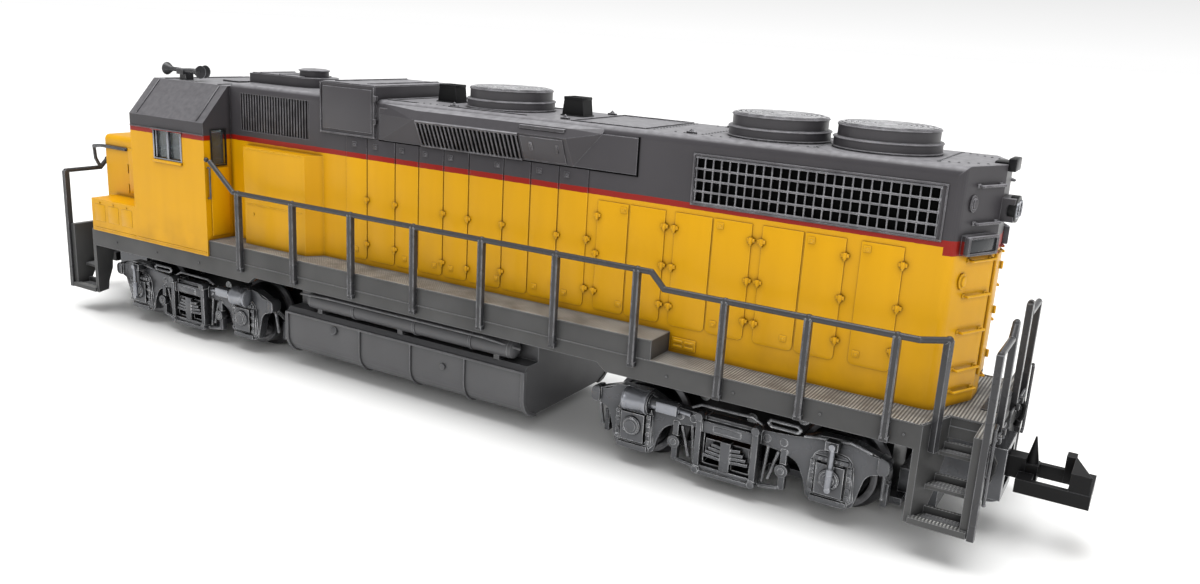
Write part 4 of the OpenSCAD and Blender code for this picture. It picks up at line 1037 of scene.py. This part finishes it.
def truck_castings(shape):
    """Left side of one truck in its own frame, +X towards the model's end."""
    shape.prism(side_profile(), "y", 7.28, 7.46, 0.06)
    for s in SIDES:
        x = s * AXLE_X
        guide = [(x - 1.9, 1.5), (x + 1.9, 1.5), (x + 1.6, 5.2), (x + 1.0, 5.8), (x - 1.0, 5.8), (x - 1.6, 5.2)]
        shape.prism(rounded(guide, 1), "y", 7.3, 7.66, 0.08)
        shape.box((x - 1.45, 7.4, 1.62), (x + 1.45, 7.92, 2.12), 0.1)
        shape.box((x - 1.05, 7.4, 2.4), (x + 1.05, 7.95, 4.9), 0.25)
        shape.rod((x, 7.6, AXLE_Z), (x, 8.18, AXLE_Z), 0.95, 0.82, 24, 0.1)
        shape.pin(x, AXLE_Z, 8.0, 8.32, 0.5, 20, 0.08)
        for bolt_x, bolt_z in arc(x, AXLE_Z, 0.7, 90, 330, 2):
            shape.pin(bolt_x, bolt_z, 8.0, 8.26, 0.12, 6)
        for dx in (-1.45, 1.45):
            shape.box((x + dx - 0.2, 7.4, 2.2), (x + dx + 0.2, 7.85, 5.0), 0.08)
            for z in (2.55, 3.3, 4.1, 4.8):
                shape.pin(x + dx, z, 7.8, 7.98, 0.17, 8, 0.04)
        shape.box((x - 1.35, 7.4, 5.05), (x + 1.35, 7.9, 5.45), 0.1)
        for dx in (-0.85, -0.3, 0.3, 0.85):
            shape.pin(x + dx, 5.25, 7.85, 7.98, 0.13, 6)
    for x in (-4.4, -3.2, 3.2, 4.6):
        shape.pin(x, 5.55, 7.4, 7.56, 0.3, 14, 0.05)
    for s in SIDES:
        bracket = [(s * 12.0, 4.9), (s * 12.9, 5.1), (s * 12.9, 6.2), (s * 12.0, 6.5)]
        shape.prism(rounded(bracket, 1), "y", 6.5, 7.7, 0.1)


def swing_hanger(shape):
    """Centre hanger: two legs with pins, top yoke, spring plank, and brake levers beside it."""
    for x in (2.45, -2.45):
        shape.box((x - 0.26, 7.2, 1.3), (x + 0.26, 8.15, 6.35), 0.1)
        for z, r in ((6.15, 0.36), (1.6, 0.32)):
            shape.pin(x, z, 7.2, 8.3, r, 16, 0.08)
    shape.box((-2.3, 7.2, 4.85), (2.3, 7.95, 5.85), 0.12)
    shape.box((-1.2, 7.9, 5.1), (1.2, 8.06, 5.6), 0.08)
    shape.box((-2.5, 6.6, 1.2), (2.5, 8.2, 1.62), 0.12)
    shape.box((-2.2, 7.3, 1.62), (2.2, 8.05, 2.0), 0.1)
    for s in SIDES:
        x = s * 4.7
        shape.pin(x, 3.3, 7.1, 7.9, 0.55, 18, 0.08)
        shape.pin(x, 3.3, 7.8, 8.05, 0.25, 12, 0.05)
        shape.box((x - 0.28, 7.0, 1.6), (x + 0.28, 7.6, 5.0), 0.12)
        shape.wire([(s * 4.4, 7.5, 1.7), (s * 2.9, 7.5, 1.5)], 0.2)
        shape.wire([(s * 3.3, 7.3, 4.9), (s * 3.0, 7.3, 1.8)], 0.16)
        shape.wire([(s * 4.2, 7.3, 4.6), (s * 3.5, 7.3, 2.2)], 0.16)


def leaf_spring(shape):
    """Four bowed leaves, the longest lowest, and the buckle that holds them."""
    for i, half in enumerate((1.95, 1.75, 1.5, 1.25)):
        z = 2.75 + i * 0.34
        leaf = [(-half, z + 0.1), (0, z - 0.04), (half, z + 0.1),
                (half, z + 0.36), (0, z + 0.22), (-half, z + 0.36)]
        shape.prism(leaf, "y", 7.25, 8.0, 0.05)
    shape.box((-0.45, 7.3, 2.0), (0.45, 8.1, 4.5), 0.1)


def brake_gear(shape):
    """Brake cylinder at the inner end with its piston, and the damper at the outer axle."""
    cylinder = [(0.75, 0), (1.02, 0.1), (1.05, 0.3), (0.98, 0.42),
                (0.98, 1.9), (1.05, 2.0), (1.05, 2.3), (0.8, 2.42)]
    shape.lathe(cylinder, (-9.55, 7.6, 6.0), "x", 28)
    shape.rod((-7.2, 7.6, 6.05), (-6.4, 7.6, 6.05), 0.45, sides=16, bevel=0.08)
    shape.box((-6.5, 7.2, 5.55), (-4.5, 8.1, 6.5), 0.14)
    shape.rod((-4.6, 7.6, 6.0), (-3.4, 7.6, 5.9), 0.2, sides=12, bevel=0.05)
    x = AXLE_X + 0.1
    shape.rod((x - 0.05, 8.35, 3.2), (x, 8.35, 4.8), 0.3, sides=14, bevel=0.06)
    shape.rod((x, 8.35, 4.8), (x + 0.05, 8.35, 6.6), 0.19, sides=12, bevel=0.04)
    for z in (3.1, 6.6):
        shape.pin(x, z, 7.7, 8.6, 0.26, 14, 0.05)


def pipe_work(shape):
    """Brake pipes over the side frame, and brackets and hangers at both of its ends."""
    shape.wire([(3.2, 7.5, 6.9), (3.4, 7.6, 7.2), (5.6, 7.6, 7.2), (5.9, 7.6, 6.95),
                (5.7, 7.6, 6.7), (3.5, 7.6, 6.7), (3.2, 7.5, 6.9)], 0.14)
    shape.wire([(-3.4, 7.3, 6.5), (-2.6, 7.4, 6.9), (1.8, 7.4, 6.95), (2.6, 7.3, 6.5)], 0.13)
    shape.wire([(6.2, 7.4, 6.5), (7.4, 7.5, 6.7), (9.8, 7.5, 6.9), (11.4, 7.3, 6.4)], 0.13)
    for s in SIDES:
        shape.wire([(s * 12.3, 6.3, 2.6), (s * 12.4, 6.7, 4.6), (s * 12.3, 6.9, 5.2)], 0.16)
        shape.box((s * 12.3 - 0.25, 4.6, 1.6), (s * 12.3 + 0.25, 5.6, 3.6), 0.1)
        shape.wire([(s * 12.3, 5.1, 3.5), (s * 12.3, 6.4, 5.0)], 0.2)


def truck_places():
    """Each truck's name and where it stands; the rear one is the front one turned round."""
    for end, turn in (("front", 0), ("rear", math.pi)):
        yield end, Matrix.Rotation(turn, 4, "Z") @ Matrix.Translation((TRUCK_X, 0, 0))


def trucks():
    """Castings, springs with pipes, and brake gear on the side frames of both trucks."""
    for end, place in truck_places():
        body = "truck_" + end
        castings, fine, shiny = Shape(), Shape(), Shape()
        truck_castings(castings)
        swing_hanger(castings)
        castings.mirror().done("truck_castings_" + end, truck_grey, "truck_plastic", body, place)
        leaf_spring(fine)
        pipe_work(fine)
        fine.mirror().done("truck_springs_" + end, truck_grey, "truck_plastic", body, place)
        brake_gear(shiny)
        shiny.mirror().done("truck_brake_gear_" + end, cast_shine, "truck_plastic", body, place)


def wheel_faces():
    """A raised ring and five bosses on each wheel's face."""
    for end, place in truck_places():
        for axle, x in (("outer", AXLE_X), ("inner", -AXLE_X)):
            face = Shape()
            face.lathe([(2.5, -0.3), (2.62, 0.0), (2.9, 0.02), (2.95, -0.12)], (x, 5.8, AXLE_Z), "y", ring=True)
            for boss_x, boss_z in arc(x, AXLE_Z, 1.8, 0, 288, 4):
                face.pin(boss_x, boss_z, 5.25, 5.5, 0.28, 16, 0.06)
            wheels = "{}_{}".format(end, axle)
            face.mirror().done("wheel_faces_" + wheels, dark_wheel, "wheel_metal", "axle_" + wheels, place)


# ---- Scene ----

def studio_sky():
    """White at the horizon and a little dimmer overhead."""
    world = bpy.data.worlds.new("studio")
    world.use_nodes = True
    tree = world.node_tree
    split = tree.nodes.new("ShaderNodeSeparateXYZ")
    tree.links.new(tree.nodes.new("ShaderNodeTexCoord").outputs["Generated"], split.inputs[0])
    fade = tree.nodes.new("ShaderNodeMapRange")
    fade.inputs["From Max"].default_value = 0.16
    fade.inputs["To Min"].default_value = 1.0
    fade.inputs["To Max"].default_value = 0.5
    tree.links.new(split.outputs["Z"], fade.inputs["Value"])
    background = tree.nodes["Background"]
    background.inputs["Color"].default_value = (1.0, 1.0, 1.0, 1.0)
    tree.links.new(fade.outputs["Result"], background.inputs["Strength"])
    bpy.context.scene.world = world


def stage():
    """The floor, the sky and the plain view transform."""
    mesh = bpy.data.meshes.new("floor")
    bm = bmesh.new()
    bmesh.ops.create_grid(bm, x_segments=8, y_segments=8, size=3.0)
    bm.to_mesh(mesh)
    bm.free()
    mesh.materials.append(pale_floor())
    floor = bpy.data.objects.new("floor", mesh)
    bpy.context.scene.collection.objects.link(floor)
    bpy.context.scene.view_settings.view_transform = "Standard"
    studio_sky()


def softbox(name, at, target, size, power):
    """A round area light that faces a point, all in metres and watts."""
    data = bpy.data.lights.new(name, "AREA")
    data.shape = "DISK"
    data.size = size
    data.energy = power
    obj = bpy.data.objects.new(name, data)
    obj.location = at
    obj.rotation_euler = (Vector(target) - Vector(at)).to_track_quat("-Z", "Y").to_euler()
    bpy.context.scene.collection.objects.link(obj)


def lights():
    """A broad overhead sun and three softboxes."""
    overhead = bpy.data.lights.new("overhead", "SUN")
    overhead.energy = 2.5
    overhead.angle = 0.9
    bpy.context.scene.collection.objects.link(bpy.data.objects.new("overhead", overhead))
    softbox("top_softbox", (0.05, 0.02, 0.42), (0, 0, 0.015), 0.3, 0.35)
    softbox("left_softbox", (-0.18, 0.42, 0.22), (0, 0, 0.015), 0.22, 0.3)
    softbox("rear_softbox", (-0.5, 0.05, 0.2), (-0.03, 0, 0.015), 0.2, 0.25)


def camera():
    """Stands off the model's left rear corner, with a slight roll."""
    eye = Vector((-60.225, 78.624, 36.158)) * MM
    target = Vector((-14.027, -2.468, 11.56)) * MM
    data = bpy.data.cameras.new("camera")
    data.sensor_width = 36.0
    data.lens = 30.24
    data.clip_start = 0.005
    obj = bpy.data.objects.new("camera", data)
    bpy.context.scene.collection.objects.link(obj)
    aim = (target - eye).to_track_quat("-Z", "Y").to_matrix().to_4x4()
    obj.matrix_world = Matrix.Translation(eye) @ aim @ Matrix.Rotation(0.059, 4, "Z")
    bpy.context.scene.camera = obj


dress_cad_nodes()
hood_doors()
hood_fittings()
hood_louvre_box()
blower_panels()
radiator_grille()
intake_slats()
brake_hatch()
filter_box_panels()
roof_details()
for fan_x in (-4.7, -31.3, -40.1):
    fan_top(fan_x)
low_roof_box()
stack_rims()
rear_end()
cab_windows()
cab_dark()
cab_shell_trim()
nose_rails()
cab_roof()
rail_posts()
sill_trim()
end_platform()
step_tread_plates()
corner_irons()
tank_details()
trucks()
wheel_faces()
stage()
lights()
camera()
